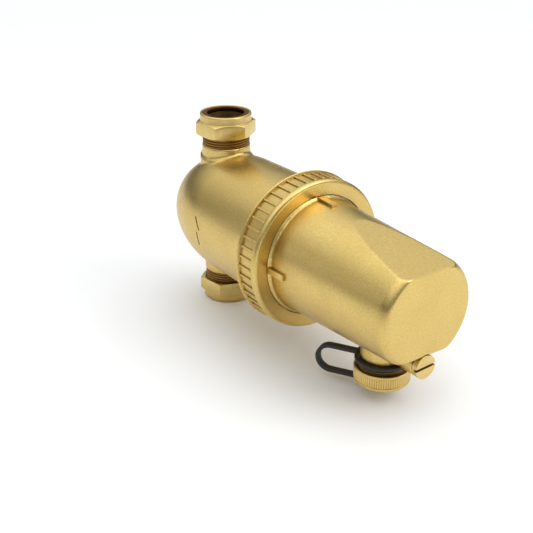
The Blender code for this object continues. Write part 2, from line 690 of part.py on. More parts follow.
def magnet_stack():
    """Sheath, end plug, magnets and the pole pieces between them."""
    bore = SHEATH_R - SHEATH_WALL
    profile = [(0.0, sheath_back + SHEATH_WALL),
               (bore, sheath_back + SHEATH_WALL),
               (bore, sheath_front),
               (SHEATH_R, sheath_front),
               (SHEATH_R, sheath_back + SHEATH_EDGE),
               (SHEATH_R - SHEATH_EDGE, sheath_back),
               (0.0, sheath_back)]
    turned("magnet_sheath", profile, SMALL_STEPS, STEEL, MAIN)
    core_r = bore - GAP
    plug_back = sheath_front - SHEATH_PLUG_LENGTH
    rod("sheath_plug", core_r, plug_back, sheath_front, SMALL_STEPS, BRASS_NUT, MAIN)
    start = sheath_back + SHEATH_WALL + GAP
    poles = MAGNET_COUNT + 1
    room = plug_back - start - poles * (POLE_THICKNESS + GAP) - MAGNET_COUNT * GAP
    magnet_length = room / MAGNET_COUNT
    for i in range(poles):
        rod("pole_piece_%d" % (i + 1), core_r, start, start + POLE_THICKNESS, SMALL_STEPS, STEEL, MAIN)
        start += POLE_THICKNESS + GAP
        if i < MAGNET_COUNT:
            rod("magnet_%d" % (i + 1), core_r, start, start + magnet_length, SMALL_STEPS, MAGNET, MAIN)
            start += magnet_length + GAP


def drain_spindle():
    """Slotted screw that opens the drain."""
    front = canister_front + SPINDLE_HEAD_PROUD
    seat = drain_forward - DRAIN_BORE_R
    groove_r = spindle_bore - SPINDLE_SEAL_SECTION - 2 * GAP
    profile = [(0.0, front),
               (spindle_head_r - SPINDLE_EDGE, front),
               (spindle_head_r, front - SPINDLE_EDGE),
               (spindle_head_r, spindle_head_back),
               (SPINDLE_R, spindle_head_back),
               (SPINDLE_R, spindle_seal_front),
               (groove_r, spindle_seal_front),
               (groove_r, spindle_seal_back),
               (SPINDLE_R, spindle_seal_back),
               (SPINDLE_R, seat + SPINDLE_CONE),
               (SEAT_R / 2, seat - SPINDLE_TIP),
               (0.0, seat - SPINDLE_TIP)]
    spindle = turned("drain_spindle", profile, SMALL_STEPS, BRASS_NUT, SPINDLE)
    half = SPINDLE_SLOT_WIDTH / 2
    slot = block("spindle_slot", (-2 * spindle_head_r, -half, front - SPINDLE_SLOT_DEPTH),
                 (2 * spindle_head_r, half, front + OVERRUN), frame=SPINDLE)
    slot.rotation_euler = (0.0, 0.0, SPINDLE_SLOT_TILT)
    combine(spindle, slot, "DIFFERENCE")
    seal_ring("spindle_o_ring", groove_r + GAP, SPINDLE_SEAL_SECTION,
              (spindle_seal_front + spindle_seal_back) / 2, SMALL_STEPS, SPINDLE)


def drain_cap():
    """Cap on the drain neck, with its washer and the button that holds the strap."""
    profile = [(0.0, cap_end),
               (cap_r - CAP_CHAMFER, cap_end),
               (cap_r, cap_end - CAP_CHAMFER),
               (cap_r, cap_rim + CAP_CHAMFER / 2),
               (cap_r - CAP_CHAMFER / 3, cap_rim),
               (cap_bore + CAP_CHAMFER / 3, cap_rim),
               (cap_bore, cap_rim + CAP_CHAMFER / 2),
               (cap_bore, cap_floor_top),
               (0.0, cap_floor_top)]
    turned("drain_cap", profile, RING_STEPS, BRASS_NUT, DRAIN)
    washer_r = drain_thread_r - CAP_WASHER_FIT
    washer_end = washer_top + CAP_WASHER_THICKNESS
    profile = [(DRAIN_BORE_R, washer_end), (washer_r, washer_end),
               (washer_r, washer_top), (DRAIN_BORE_R, washer_top)]
    turned("cap_washer", profile, SMALL_STEPS, RUBBER, DRAIN)
    head_top = tab_end + GAP
    profile = [(0.0, head_top + BUTTON_HEAD),
               (BUTTON_R - BUTTON_HEAD / 2, head_top + BUTTON_HEAD),
               (BUTTON_R, head_top + BUTTON_HEAD / 2),
               (BUTTON_R, head_top),
               (BUTTON_SHANK_R, head_top),
               (BUTTON_SHANK_R, tab_top),
               (0.0, tab_top)]
    turned("cap_button", profile, SMALL_STEPS, BRASS_NUT, DRAIN)


def cap_tether():
    """Rubber strap: eyelet round the neck, loop behind it, and the end held under the cap."""
    low_r = NECK_R + GAP
    eyelet_end = eyelet_top + EYELET_SECTION
    profile = [(low_r, eyelet_end), (low_r + EYELET_WALL, eyelet_end),
               (low_r + EYELET_WALL, eyelet_top), (low_r, eyelet_top)]
    eyelet = turned("cap_tether", profile, PORT_STEPS, RUBBER, DRAIN)
    upper = eyelet_top + EYELET_SECTION / 2
    lower = (tab_top + tab_end) / 2
    bend_r = (lower - upper) / 2
    bend_centre = TETHER_REACH - TETHER_R - bend_r
    points = [(low_r + EYELET_WALL / 2, upper)]
    points += arc((bend_centre, (upper + lower) / 2), (bend_r, bend_r), -90, 90, 10)
    points.append((cap_r + TETHER_R / 2, lower))
    strap = strap_mesh("tether_strap", points, DRAIN)
    combine(eyelet, strap, "UNION")
    tab_r = BUTTON_SHANK_R + GAP + TAB_WALL
    tab = rod("tether_end", tab_r, tab_top, tab_end, SMALL_STEPS, RUBBER, DRAIN)
    strip = block("tether_end_strip", (0.0, -TETHER_R, tab_top + TAB_STEP),
                  (cap_r, TETHER_R, tab_end - TAB_STEP), frame=DRAIN)
    strip.rotation_euler = (0.0, 0.0, -TETHER_HEADING)
    hole = rod("tether_end_hole", BUTTON_SHANK_R + GAP, tab_top - OVERRUN, tab_end + OVERRUN, SMALL_STEPS,
               frame=DRAIN)
    combine(tab, strip, "UNION")
    combine(tab, hole, "DIFFERENCE")


def strap_mesh(name, points, frame):
    """Round strap along (reach, down) points in the tether's upright plane, as a mesh."""
    curve = bpy.data.curves.new(name, "CURVE")
    curve.dimensions = "3D"
    curve.bevel_depth = TETHER_R
    curve.bevel_resolution = 2
    curve.use_fill_caps = True
    spline = curve.splines.new("POLY")
    spline.points.add(len(points) - 1)
    for point, (reach, down) in zip(spline.points, points):
        point.co = (reach, 0.0, down, 1.0)
    guide = bpy.data.objects.new(name + "_route", curve)
    CUTTERS.objects.link(guide)
    mesh = bpy.data.meshes.new_from_object(guide.evaluated_get(bpy.context.evaluated_depsgraph_get()))
    bpy.data.objects.remove(guide)
    bm = bmesh.new()
    bm.from_mesh(mesh)
    bpy.data.meshes.remove(mesh)
    bmesh.ops.remove_doubles(bm, verts=bm.verts, dist=0.01 * MM)
    bmesh.ops.recalc_face_normals(bm, faces=bm.faces)
    strap = from_bmesh(name, bm, frame=frame)
    strap.rotation_euler = (0.0, 0.0, -TETHER_HEADING)
    return strap


for old in list(bpy.data.objects):
    bpy.data.objects.remove(old, do_unlink=True)

PARTS = named_collection("magnetic_system_filter")
CUTTERS = named_collection("cutters")

BRASS = finish("cast_brass", (0.62, 0.43, 0.15), 1.0, 0.45)
BRASS_NUT = finish("machined_brass", (0.70, 0.50, 0.20), 1.0, 0.28)
STEEL = finish("stainless_steel", (0.60, 0.60, 0.58), 1.0, 0.30)
MAGNET = finish("nickel_magnet", (0.45, 0.45, 0.47), 1.0, 0.25)
RUBBER = finish("black_rubber", (0.02, 0.02, 0.02), 0.0, 0.60)
POLYMER = finish("diverter_polymer", (0.10, 0.10, 0.11), 0.0, 0.50)

MAIN = axis_frame("filter_axis", (0.0, 0.0, 0.0), math.pi / 2)
INLET = axis_frame("inlet_axis", (0.0, 0.0, 0.0), 0.0)
OUTLET = axis_frame("outlet_axis", (0.0, 0.0, 0.0), math.pi)
DRAIN = axis_frame("drain_axis", (0.0, -drain_forward, 0.0), math.pi)
SPINDLE = axis_frame("spindle_axis", (0.0, 0.0, -spindle_down), math.pi / 2)

rear_body()
flow_diverter()
for port, port_frame, nut_turn in (("inlet", INLET, INLET_NUT_TURN), ("outlet", OUTLET, OUTLET_NUT_TURN)):
    compression_nut(port + "_nut", port_frame, nut_turn)
    olive(port + "_olive", port_frame)
union_ring()
flange_gasket()
retaining_ring()
canister()
seal_ring("canister_o_ring", spigot_r - SPIGOT_SEAL_SECTION + GAP, SPIGOT_SEAL_SECTION,
          (seal_front + seal_back) / 2, BARREL_STEPS, MAIN)
strainer_basket()
magnet_stack()
drain_spindle()
drain_cap()
cap_tether()
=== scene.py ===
"""Fine meshes, metal and rubber finishes and a studio stage for a magnetic system filter."""
import math

import bmesh
import bpy
from bpy.props import FloatProperty, FloatVectorProperty, IntProperty, PointerProperty
from mathutils import Matrix, Vector


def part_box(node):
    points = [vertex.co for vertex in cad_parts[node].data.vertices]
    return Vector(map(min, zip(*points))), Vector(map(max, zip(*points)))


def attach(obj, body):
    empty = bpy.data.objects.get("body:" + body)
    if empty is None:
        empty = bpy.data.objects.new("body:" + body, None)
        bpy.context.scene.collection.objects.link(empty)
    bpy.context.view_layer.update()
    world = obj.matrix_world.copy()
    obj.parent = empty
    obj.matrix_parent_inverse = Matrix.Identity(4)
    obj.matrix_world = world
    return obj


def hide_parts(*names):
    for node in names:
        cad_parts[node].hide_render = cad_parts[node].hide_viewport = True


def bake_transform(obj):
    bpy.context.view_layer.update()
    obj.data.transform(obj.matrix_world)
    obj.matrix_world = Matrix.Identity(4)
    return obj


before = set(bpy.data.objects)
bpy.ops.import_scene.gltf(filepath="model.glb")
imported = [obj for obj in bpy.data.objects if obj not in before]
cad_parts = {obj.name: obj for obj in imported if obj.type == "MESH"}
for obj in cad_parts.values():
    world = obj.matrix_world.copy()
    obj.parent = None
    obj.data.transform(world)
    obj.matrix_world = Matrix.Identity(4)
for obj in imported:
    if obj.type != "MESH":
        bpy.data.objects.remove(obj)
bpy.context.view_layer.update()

bl_info = {
    "name": "Magnetic System Filter",
    "version": (1, 0, 0),
    "blender": (4, 5, 0),
    "location": "3D View > Sidebar > Filter",
    "description": "Builds the fine surface of a brass heating filter round its working model",
    "category": "Object",
}

MM = 0.001
OVERLAP = 0.4 * MM                  # depth that a joined piece reaches into its neighbour
PORT_PITCH = 1.5 * MM               # thread of the ports and of the drain
UNION_PITCH = 2.5 * MM              # thread of the collar

RING_LOW, RING_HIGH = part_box("union_ring")
CANISTER_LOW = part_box("canister")[0]
NUT_LOW, NUT_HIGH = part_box("inlet_nut")
BODY_LOW, BODY_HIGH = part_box("rear_body")
CAP_LOW, CAP_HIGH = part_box("drain_cap")
SPINDLE_LOW, SPINDLE_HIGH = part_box("drain_spindle")
BUTTON_LOW, BUTTON_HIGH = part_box("cap_button")
TETHER_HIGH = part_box("cap_tether")[1]
TAB_LOW, TAB_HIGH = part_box("tether_end")
GASKET_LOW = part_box("flange_gasket")[0]
RETAINER_LOW, RETAINER_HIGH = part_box("retaining_ring")
SHEATH_LOW, SHEATH_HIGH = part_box("magnet_sheath")
BASKET_LOW, BASKET_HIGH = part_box("strainer_basket")

DRAIN_FORWARD = -(CAP_LOW.y + CAP_HIGH.y) / 2
SPINDLE_DOWN = -(SPINDLE_LOW.z + SPINDLE_HIGH.z) / 2

UPRIGHT = Matrix.Identity(4)
INVERTED = Matrix.Rotation(math.pi, 4, "X")
FORWARD = Matrix.Rotation(math.pi / 2, 4, "X")
DRAIN = Matrix.Translation((0.0, -DRAIN_FORWARD, 0.0)) @ INVERTED
SPINDLE = Matrix.Translation((0.0, 0.0, -SPINDLE_DOWN)) @ FORWARD


def size(name, description, default):
    """A length that a user may change."""
    return FloatProperty(name=name, description=description, default=default, min=0.0,
                         unit="LENGTH", subtype="DISTANCE", precision=5)


def colour(name, description, default):
    """A colour that a user may change."""
    return FloatVectorProperty(name=name, description=description, default=default, size=3,
                               min=0.0, max=1.0, subtype="COLOR")


class FilterFinishes(bpy.types.PropertyGroup):
    """Colours of the finishes."""
    cast: colour("Cast brass", "Bead-blasted castings", (0.72, 0.53, 0.185))
    machined: colour("Machined brass", "Turned nuts, cap and screw", (0.74, 0.55, 0.21))
    # Thread colour is darkened as painted shade of the thread's grooves.
    thread: colour("Thread brass", "Threads, darkened as painted shade of their grooves", (0.42, 0.25, 0.08))
    # Crevice colour: painted shade, tinted warm as a painted reflection of brass on brass, laid into corners
    # by occlusion.
    crevice_shade: colour("Crevice", "Tint where brass faces brass", (0.24, 0.12, 0.03))
    # Bore colour: painted shade, a dark tone put inside the ports and sockets; the nuts' recessed rim faces
    # get it too.
    bore: colour("Bore", "Inside of the ports", (0.16, 0.07, 0.02))
    rubber: colour("Rubber", "Strap and seals", (0.012, 0.012, 0.011))
    steel: colour("Steel", "Basket, sheath and poles", (0.56, 0.56, 0.54))
    polymer: colour("Polymer", "Flow diverter", (0.035, 0.036, 0.04))


class FilterBody(bpy.types.PropertyGroup):
    """Sizes of the rear body and its ports."""
    barrel: size("Barrel radius", "Radius where the dome starts", 35.8 * MM)
    flare: size("Flare", "Growth of the barrel towards the union", 0.6 * MM)
    wall: size("Wall", "Wall of the barrel", 4.0 * MM)
    dome_start: size("Dome start", "Forward of the pipe line", 19.4 * MM)
    front: size("Front", "Sealing face, forward of the pipe line", -BODY_LOW.y)
    collar: size("Collar radius", "Crest of the union thread", 39.3 * MM)
    collar_depth: size("Collar thread depth", "Crest to root of the union thread", 1.1 * MM)
    collar_thread: size("Collar thread", "Length of the union thread", 7.5 * MM)
    run_out: size("Run-out", "Plain end of the union thread", 0.8 * MM)
    land: size("Land", "Plain band behind the union thread", 1.8 * MM)
    neck: size("Neck radius", "Root of the neck's thread", 13.15 * MM)
    boss: size("Boss radius", "Smooth cast wall below each neck's thread", 14.4 * MM)
    boss_foot: size("Boss foot", "Spread of the boss where it meets the barrel", 1.3 * MM)
    boss_rise: size("Boss rise", "Foot of the boss above the barrel", 0.6 * MM)
    neck_thread: size("Thread depth", "Crest to root of the neck's thread", 0.9 * MM)
    thread_low: size("Thread start", "Filter axis to the start of the neck's thread", 40.0 * MM)
    mouth: size("Neck mouth", "Filter axis to the neck's mouth", 52.0 * MM)
    pipe: size("Pipe bore", "Radius of the pipe socket", 11.15 * MM)
    pipe_stop: size("Pipe stop", "Filter axis to the pipe stop", 38.0 * MM)
    waterway: size("Waterway", "Radius of the waterway behind the pipe stop", 9.15 * MM)
    mark_width: size("Mark width", "Width of the two engraved strokes", 0.95 * MM)
    mark_depth: size("Mark depth", "Depth of the two engraved strokes", 0.55 * MM)
    voxel: size("Casting cell", "Cell of the cast surface", 0.72 * MM)


class FilterNuts(bpy.types.PropertyGroup):
    """Sizes of the compression nuts."""
    rim: size("Rim", "Filter axis to the rim of a nut", NUT_HIGH.z)
    back: size("Back", "Filter axis to the back of a nut", NUT_LOW.z)
    collar: size("Collar radius", "Round collar at the rim", 15.3 * MM)
    collar_length: size("Collar length", "Rim to hexagon", 4.7 * MM)
    flat: size("Flat radius", "Axis to a flat of the hexagon", 15.6 * MM)
    edge: size("Edge", "Rounding of the rim", 0.9 * MM)
    lip: size("Lip", "Width of the bright edge round the dark rim", 1.5 * MM)
    play: size("Play", "Gap round the neck's thread", 0.35 * MM)
    olive_room: size("Olive room", "Mouth of the neck to the nut's cone", 3.2 * MM)
    cone: size("Cone", "Length of the cone that presses the olive", 2.6 * MM)
    inlet_turn: FloatProperty(name="Inlet turn", description="How far the inlet hexagon is turned",
                              default=math.radians(6.0), subtype="ANGLE")
    outlet_turn: FloatProperty(name="Outlet turn", description="How far the outlet hexagon is turned",
                               default=math.radians(-9.0), subtype="ANGLE")


class FilterRing(bpy.types.PropertyGroup):
    """Sizes of the union ring."""
    outer: size("Outer radius", "Rear rim", RING_HIGH.z)
    back: size("Back", "Rear face, forward of the pipe line", -RING_HIGH.y)
    front: size("Front", "Front face, forward of the pipe line", -RING_LOW.y)
    bore: size("Bore", "Inside radius behind the lip", 39.7 * MM)
    lip: size("Lip radius", "Inside radius of the lip", 34.65 * MM)
    lip_back: size("Lip back", "Rear of the lip, forward of the pipe line", 89.3 * MM)
    bead_drop: size("Bead drop", "Bead below the rear rim", 1.0 * MM)
    pocket_drop: size("Pocket drop", "Pocket floor below the rear rim", 1.85 * MM)
    face_drop: size("Face drop", "Edge of the flat face below the rear rim", 2.9 * MM)
    bead: size("Bead", "Length of the rounded front shoulder", 3.9 * MM)
    rim: size("Rear rim", "Width of the rear rim", 1.3 * MM)
    rib: size("Rib width", "Across a rib", 1.25 * MM)
    ball: size("Ball radius", "Rounded tip of a rib", 0.8 * MM)
    ribs: IntProperty(name="Ribs", description="Number of ribs", default=48, min=3)


class FilterCanister(bpy.types.PropertyGroup):
    """Sizes of the canister."""
    front: size("Front", "Front face, forward of the pipe line", -CANISTER_LOW.y)
    shoulder: size("Shoulder radius", "Rim inside the union ring", 34.4 * MM)
    shoulder_front: size("Shoulder front", "Forward of the pipe line", 91.7 * MM)
    barrel: size("Barrel radius", "Radius at the shoulder", 32.7 * MM)
    nose: size("Nose radius", "Barrel radius at the front", 29.2 * MM)
    rounding: size("Rounding", "Rounding of the nose", 5.5 * MM)
    squeeze: FloatProperty(name="Squeeze", description="Depth of the nose's rounding to its length",
                           default=0.68, min=0.1, max=1.0)
    spigot: size("Spigot radius", "Part inside the body", 31.2 * MM)
    spigot_length: size("Spigot length", "Part inside the body", 12.6 * MM)
    cavity: size("Cavity radius", "Inside radius", 26.6 * MM)
    cone: size("Cone radius", "Inside radius at the front wall", 20.05 * MM)
    front_wall: size("Front wall", "Thickness of the front wall", 5.0 * MM)
    flat_back: size("Flat start", "Forward of the pipe line", 122.1 * MM)
    flat_high: size("Flat start height", "Above the filter axis", 31.45 * MM)
    flat_low: size("Flat front height", "Above the filter axis", 22.45 * MM)
    gusset: size("Gusset length", "Shoulder to the foot of a gusset", 12.0 * MM)
    gusset_width: size("Gusset width", "Across a gusset", 3.5 * MM)
    gusset_toe: size("Gusset toe", "Front end of a gusset above the barrel", 0.9 * MM)
    voxel: size("Casting cell", "Cell of the cast surface", 0.66 * MM)


class FilterDrain(bpy.types.PropertyGroup):
    """Sizes of the drain, its cap, screw and strap."""
    neck: size("Neck radius", "Smooth neck", 12.0 * MM)
    thread: size("Thread radius", "Crest of the drain's thread", 12.7 * MM)
    thread_top: size("Thread top", "Below the filter axis", 39.65 * MM)
    thread_end: size("Thread end", "Below the filter axis", 47.35 * MM)
    bore: size("Bore", "Drain hole radius", 4.0 * MM)
    boss: size("Boss radius", "Boss round the screw", 6.5 * MM)
    boss_front: size("Boss front", "Forward of the pipe line", 174.5 * MM)
    slot_width: size("Slot width", "Slot in the screw", 1.5 * MM)
    slot_depth: size("Slot depth", "Slot in the screw", 1.7 * MM)
    knurls: IntProperty(name="Knurls", description="Grooves round the cap", default=72, min=12)
    knurl_depth: size("Knurl depth", "Depth of a groove", 0.45 * MM)
    eyelet: size("Eyelet height", "Height of the strap's band round the neck", 2.1 * MM)
    strap_width: size("Strap width", "Across the strap", 3.6 * MM)
    strap_thickness: size("Strap thickness", "Through the strap", 2.1 * MM)
    reach: size("Reach", "Drain axis to the end of the strap's loop", 37.0 * MM)
    heading: FloatProperty(name="Heading", description="Direction of the strap's loop, from +X",
                           default=math.radians(120.0), subtype="ANGLE")


class FilterStage(bpy.types.PropertyGroup):
    """Floor, lights and camera."""
    floor: size("Floor", "Below the filter axis", NUT_HIGH.z)
    lens: FloatProperty(name="Lens", description="Focal length", default=65.36, subtype="DISTANCE_CAMERA")
    camera: FloatVectorProperty(name="Camera", description="Place of the camera", unit="LENGTH",
                                default=(-0.30136, -0.46893, 0.21796), subtype="TRANSLATION")
    aim: FloatVectorProperty(name="Aim", description="Direction of view",
                             default=(0.5226, 0.7406, -0.4224), subtype="DIRECTION")


GROUPS = {
    "filter_finishes": FilterFinishes,
    "filter_body": FilterBody,
    "filter_nuts": FilterNuts,
    "filter_ring": FilterRing,
    "filter_canister": FilterCanister,
    "filter_drain": FilterDrain,
    "filter_stage": FilterStage,
}


# Outlines and meshes

def arc(centre, radii, start, end, count):
    """Points of an elliptical arc in the outline's plane, from start to end in degrees."""
    points = []
    for i in range(count + 1):
        angle = math.radians(start + (end - start) * i / count)
        across = centre[0] + radii[0] * math.cos(angle)
        points.append((max(across, 0.0), centre[1] + radii[1] * math.sin(angle)))
    return points


def rounded(points, radius, count=3):
    """Round the corners of a closed outline; a radius of 0 at the axis keeps its corner."""
    result = []
    total = len(points)
    for i, point in enumerate(points):
        here = Vector(point)
        before = Vector(points[i - 1]) - here
        after = Vector(points[(i + 1) % total]) - here
        reach = min(radius, before.length * 0.45, after.length * 0.45)
        if here.x <= 0.0 or reach < 0.01 * MM:
            result.append(tuple(here))
            continue
        first = here + before.normalized() * reach
        last = here + after.normalized() * reach
        for step in range(count + 1):
            t = step / count
            result.append(tuple(first.lerp(here, t).lerp(here.lerp(last, t), t)))
    return result


def turned(profile, steps, matrix=UPRIGHT):
    """Spin an outline of (radius, height) points about local Z into a closed mesh."""
    bm = bmesh.new()
    verts = [bm.verts.new((radius, 0.0, height)) for radius, height in profile]
    edges = [bm.edges.new(pair) for pair in zip(verts, verts[1:])]
    if profile[0][0] > 0.0:
        edges.append(bm.edges.new((verts[-1], verts[0])))
    bmesh.ops.spin(bm, geom=verts + edges, cent=(0, 0, 0), axis=(0, 0, 1), angle=2 * math.pi,
                   steps=steps, use_merge=True)
    bmesh.ops.remove_doubles(bm, verts=bm.verts, dist=0.002 * MM)
    return settled(bm, matrix)


def settled(bm, matrix=UPRIGHT):
    """Place a mesh and point its faces outwards."""
    bmesh.ops.transform(bm, matrix=matrix, verts=bm.verts)
    bmesh.ops.recalc_face_normals(bm, faces=bm.faces)
    return bm


def rod(radius, low, high, steps, matrix=UPRIGHT):
    """Cylinder along local Z between two heights."""
    bm = bmesh.new()
    bmesh.ops.create_cone(bm, cap_ends=True, segments=steps, radius1=radius, radius2=radius, depth=high - low,
                          matrix=matrix @ Matrix.Translation((0, 0, (low + high) / 2)))
    return bm


def box(low, high, matrix=UPRIGHT):
    """Box between two opposite corners."""
    bm = bmesh.new()
    low, high = Vector(low), Vector(high)
    scale = Matrix.Diagonal((*(high - low), 1.0))
    bmesh.ops.create_cube(bm, size=1.0, matrix=matrix @ Matrix.Translation((low + high) / 2) @ scale)
    return bm


def merged(*parts):
    """Put closed meshes together, overlapping as they are."""
    first = parts[0]
    for bm in parts[1:]:
        mesh = bpy.data.meshes.new("part")
        bm.to_mesh(mesh)
        bm.free()
        first.from_mesh(mesh)
        bpy.data.meshes.remove(mesh)
    return first


def piece(name, bm, *materials, sharp=35.0):
    """Turn a mesh into an object."""
    mesh = bpy.data.meshes.new(name)
    bm.to_mesh(mesh)
    bm.free()
    item = bpy.data.objects.new(name, mesh)
    bpy.context.scene.collection.objects.link(item)
    for material in materials:
        mesh.materials.append(material)
    return smoothed(item, sharp)


def smoothed(item, sharp):
    """Shade an object smooth, except along edges that turn by more than the given degrees."""
    item.data.shade_smooth()
    item.data.set_sharp_from_angle(angle=math.radians(sharp))
    return item


def apply(item):
    """Make an object's modifiers part of its mesh."""
    graph = bpy.context.evaluated_depsgraph_get()
    mesh = bpy.data.meshes.new_from_object(item.evaluated_get(graph))
    old = item.data
    item.modifiers.clear()
    item.data = mesh
    bpy.data.meshes.remove(old)
    mesh.name = item.name
    return item


def carve(item, operation, *tools):
    """Cut, join or intersect an object with bmesh tools, which are used up."""
    made = [piece("tool", bm) for bm in tools]
    for tool in made:
        step = item.modifiers.new(operation, "BOOLEAN")
        step.operation = operation
        step.object = tool
        step.solver = "EXACT"
    apply(item)
    for tool in made:
        taken(tool).free()
    return item


def taken(item):
    """Mesh of a helper object, which is removed."""
    bm = bmesh.new()
    bm.from_mesh(item.data)
    mesh = item.data
    bpy.data.objects.remove(item)
    bpy.data.meshes.remove(mesh)
    return bm


def cast(item, cell, passes):
    """Give an object the soft corners of a casting."""
    remesh = item.modifiers.new("cells", "REMESH")
    remesh.mode = "VOXEL"
    remesh.voxel_size = cell
    soften = item.modifiers.new("soften", "SMOOTH")
    soften.factor = 0.5
    soften.iterations = passes
    materials = list(item.data.materials)
    apply(item)
    item.data.materials.clear()
    for material in materials:
        item.data.materials.append(material)
    item.data.shade_smooth()
    return item


def bevelled(item, width, segments=2, angle=30.0):
    """Round the sharp edges of an object."""
    step = item.modifiers.new("edges", "BEVEL")
    step.width = width
    step.segments = segments
    step.limit_method = "ANGLE"
    step.angle_limit = math.radians(angle)
    step.use_clamp_overlap = True
    apply(item)
    return smoothed(item, 50.0)


def paint(item, index, test):
    """Give a material slot to the faces whose centres pass a test."""
    for face in item.data.polygons:
        if test(face.center):
            face.material_index = index


def helix(root, crest, bore, low, high, pitch, steps, matrix):
    """Threaded sleeve: one ridge swept along a helix, trimmed at both ends and bored."""
    bm = bmesh.new()
    section = [(root, -0.5), (root, -0.42), (crest, -0.08), (crest, 0.08), (root, 0.42), (root, 0.5)]
    turns = math.ceil((high - low) / pitch) + 2
    verts = [bm.verts.new((radius, 0.0, low - pitch + pitch * along)) for radius, along in section]
    edges = [bm.edges.new(pair) for pair in zip(verts, verts[1:])]
    bmesh.ops.spin(bm, geom=verts + edges, cent=(0, 0, 0), axis=(0, 0, 1), dvec=(0, 0, pitch / steps),
                   angle=2 * math.pi * turns, steps=steps * turns)
    bmesh.ops.remove_doubles(bm, verts=bm.verts, dist=0.01 * MM)
    for height, normal in ((low, -1), (high, 1)):
        geometry = bm.verts[:] + bm.edges[:] + bm.faces[:]
        bmesh.ops.bisect_plane(bm, geom=geometry, dist=0.001 * MM, plane_co=(0, 0, height),
                               plane_no=(0, 0, normal), clear_outer=True)
    rims = []
    for height in (low, high):
        loop = [e for e in bm.edges if e.is_boundary
                and all(abs(v.co.z - height) < 0.01 * MM for v in e.verts)]
        grown = bmesh.ops.extrude_edge_only(bm, edges=loop)["geom"]
        inner = [v for v in grown if isinstance(v, bmesh.types.BMVert)]
        for vert in inner:
            spread = Vector((vert.co.x, vert.co.y)).normalized() * bore
            vert.co.x, vert.co.y = spread.x, spread.y
        rims += [e for e in grown if isinstance(e, bmesh.types.BMEdge)
                 and all(v in inner for v in e.verts)]
    bmesh.ops.bridge_loops(bm, edges=rims)
    return settled(bm, matrix)


def ride(item, body, slot, *nodes):
    """Hand a finished piece to the frame."""
    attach(item, body)
    if nodes:
        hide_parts(*nodes)
    return item


# Finishes

def finish(name, base, metallic, roughness, **sockets):
    """Make a Principled material and return it with its node tree, shader and position node."""
    material = bpy.data.materials.new(name)
    material.use_nodes = True
    tree = material.node_tree
    shader = tree.nodes["Principled BSDF"]
    shader.inputs["Base Color"].default_value = (*base, 1.0)
    shader.inputs["Metallic"].default_value = metallic
    shader.inputs["Roughness"].default_value = roughness
    for socket, value in sockets.items():
        shader.inputs[socket.replace("_", " ")].default_value = value
    place = tree.nodes.new("ShaderNodeTexCoord")
    return material, tree, shader, place.outputs["Object"]


def shade(base, *factors):
    """A colour scaled in each channel, or in all three by one factor."""
    return tuple(min(channel * factor, 1.0) for channel, factor in zip(base, factors * (3 // len(factors))))


def noise(tree, place, scale, detail=3.0, roughness=0.6):
    """Noise at a scale in cycles a metre."""
    node = tree.nodes.new("ShaderNodeTexNoise")
    node.inputs["Scale"].default_value = scale
    node.inputs["Detail"].default_value = detail
    node.inputs["Roughness"].default_value = roughness
    tree.links.new(place, node.inputs["Vector"])
    return node.outputs["Fac"]


def drawn_out(tree, place, scale):
    """Position scaled along each axis, so that noise on it is drawn out into lines."""
    node = tree.nodes.new("ShaderNodeMapping")
    node.inputs["Scale"].default_value = scale
    tree.links.new(place, node.inputs["Vector"])
    return node.outputs["Vector"]


def span(tree, value, low, high, to_low, to_high):
    """Map a value from one range to another."""
    node = tree.nodes.new("ShaderNodeMapRange")
    for socket, number in zip(("From Min", "From Max", "To Min", "To Max"), (low, high, to_low, to_high)):
        node.inputs[socket].default_value = number
    tree.links.new(value, node.inputs["Value"])
    return node.outputs["Result"]


def blend(tree, factor, first, second):
    """Mix two colours, each a socket or a value."""
    node = tree.nodes.new("ShaderNodeMix")
    node.data_type = "RGBA"
    tree.links.new(factor, node.inputs["Factor"])
    for socket, source in ((node.inputs[6], first), (node.inputs[7], second)):
        if isinstance(source, bpy.types.NodeSocket):
            tree.links.new(source, socket)
        else:
            socket.default_value = (*source, 1.0)
    return node.outputs[2]


def connect(tree, shader, tone, roughness):
    """Feed a shader its colour and its roughness."""
    tree.links.new(tone, shader.inputs["Base Color"])
    tree.links.new(roughness, shader.inputs["Roughness"])


def relief(tree, shader, layers):
    """Chain bumps: each layer is (height, strength, distance)."""
    normal = None
    for height, strength, distance in layers:
        node = tree.nodes.new("ShaderNodeBump")
        node.inputs["Strength"].default_value = strength
        node.inputs["Distance"].default_value = distance
        tree.links.new(height, node.inputs["Height"])
        if normal is not None:
            tree.links.new(normal, node.inputs["Normal"])
        normal = node.outputs["Normal"]
    tree.links.new(normal, shader.inputs["Normal"])


def shelter(tree, distance):
    """Occlusion: how open a point is, from 0 in a corner to 1 in the open; it places the painted shade."""
    node = tree.nodes.new("ShaderNodeAmbientOcclusion")
    node.samples = 8
    node.inputs["Distance"].default_value = distance
    return node.outputs["AO"]


def cast_brass(name, base, crevice_shade, roughness=0.34):
    """Bead-blasted brass: fine grain, faint mottling and painted shade, tinted warm, in its corners."""
    material, tree, shader, place = finish(name, base, 1.0, roughness)
    grain = noise(tree, place, 2600.0, 4.0, 0.7)
    speckle = noise(tree, place, 1250.0, 2.0, 0.5)
    mottle = noise(tree, place, 60.0, 4.0, 0.6)
    darker = shade(base, 0.86, 0.83, 0.78)
    tone = blend(tree, span(tree, speckle, 0.32, 0.68, 0.0, 1.0), darker, shade(base, 1.06, 1.07, 1.10))
    tone = blend(tree, span(tree, mottle, 0.35, 0.7, 0.0, 0.35), tone, darker)
    # Painted shade: corners and recesses blend to the crevice colour where occlusion is high.
    tone = blend(tree, span(tree, shelter(tree, 9.0 * MM), 0.15, 0.80, 0.85, 0.0), tone, crevice_shade)
    connect(tree, shader, tone, span(tree, mottle, 0.3, 0.7, roughness - 0.04, roughness + 0.06))
    relief(tree, shader, ((speckle, 0.22, 0.10 * MM), (grain, 0.35, 0.05 * MM)))
    return material


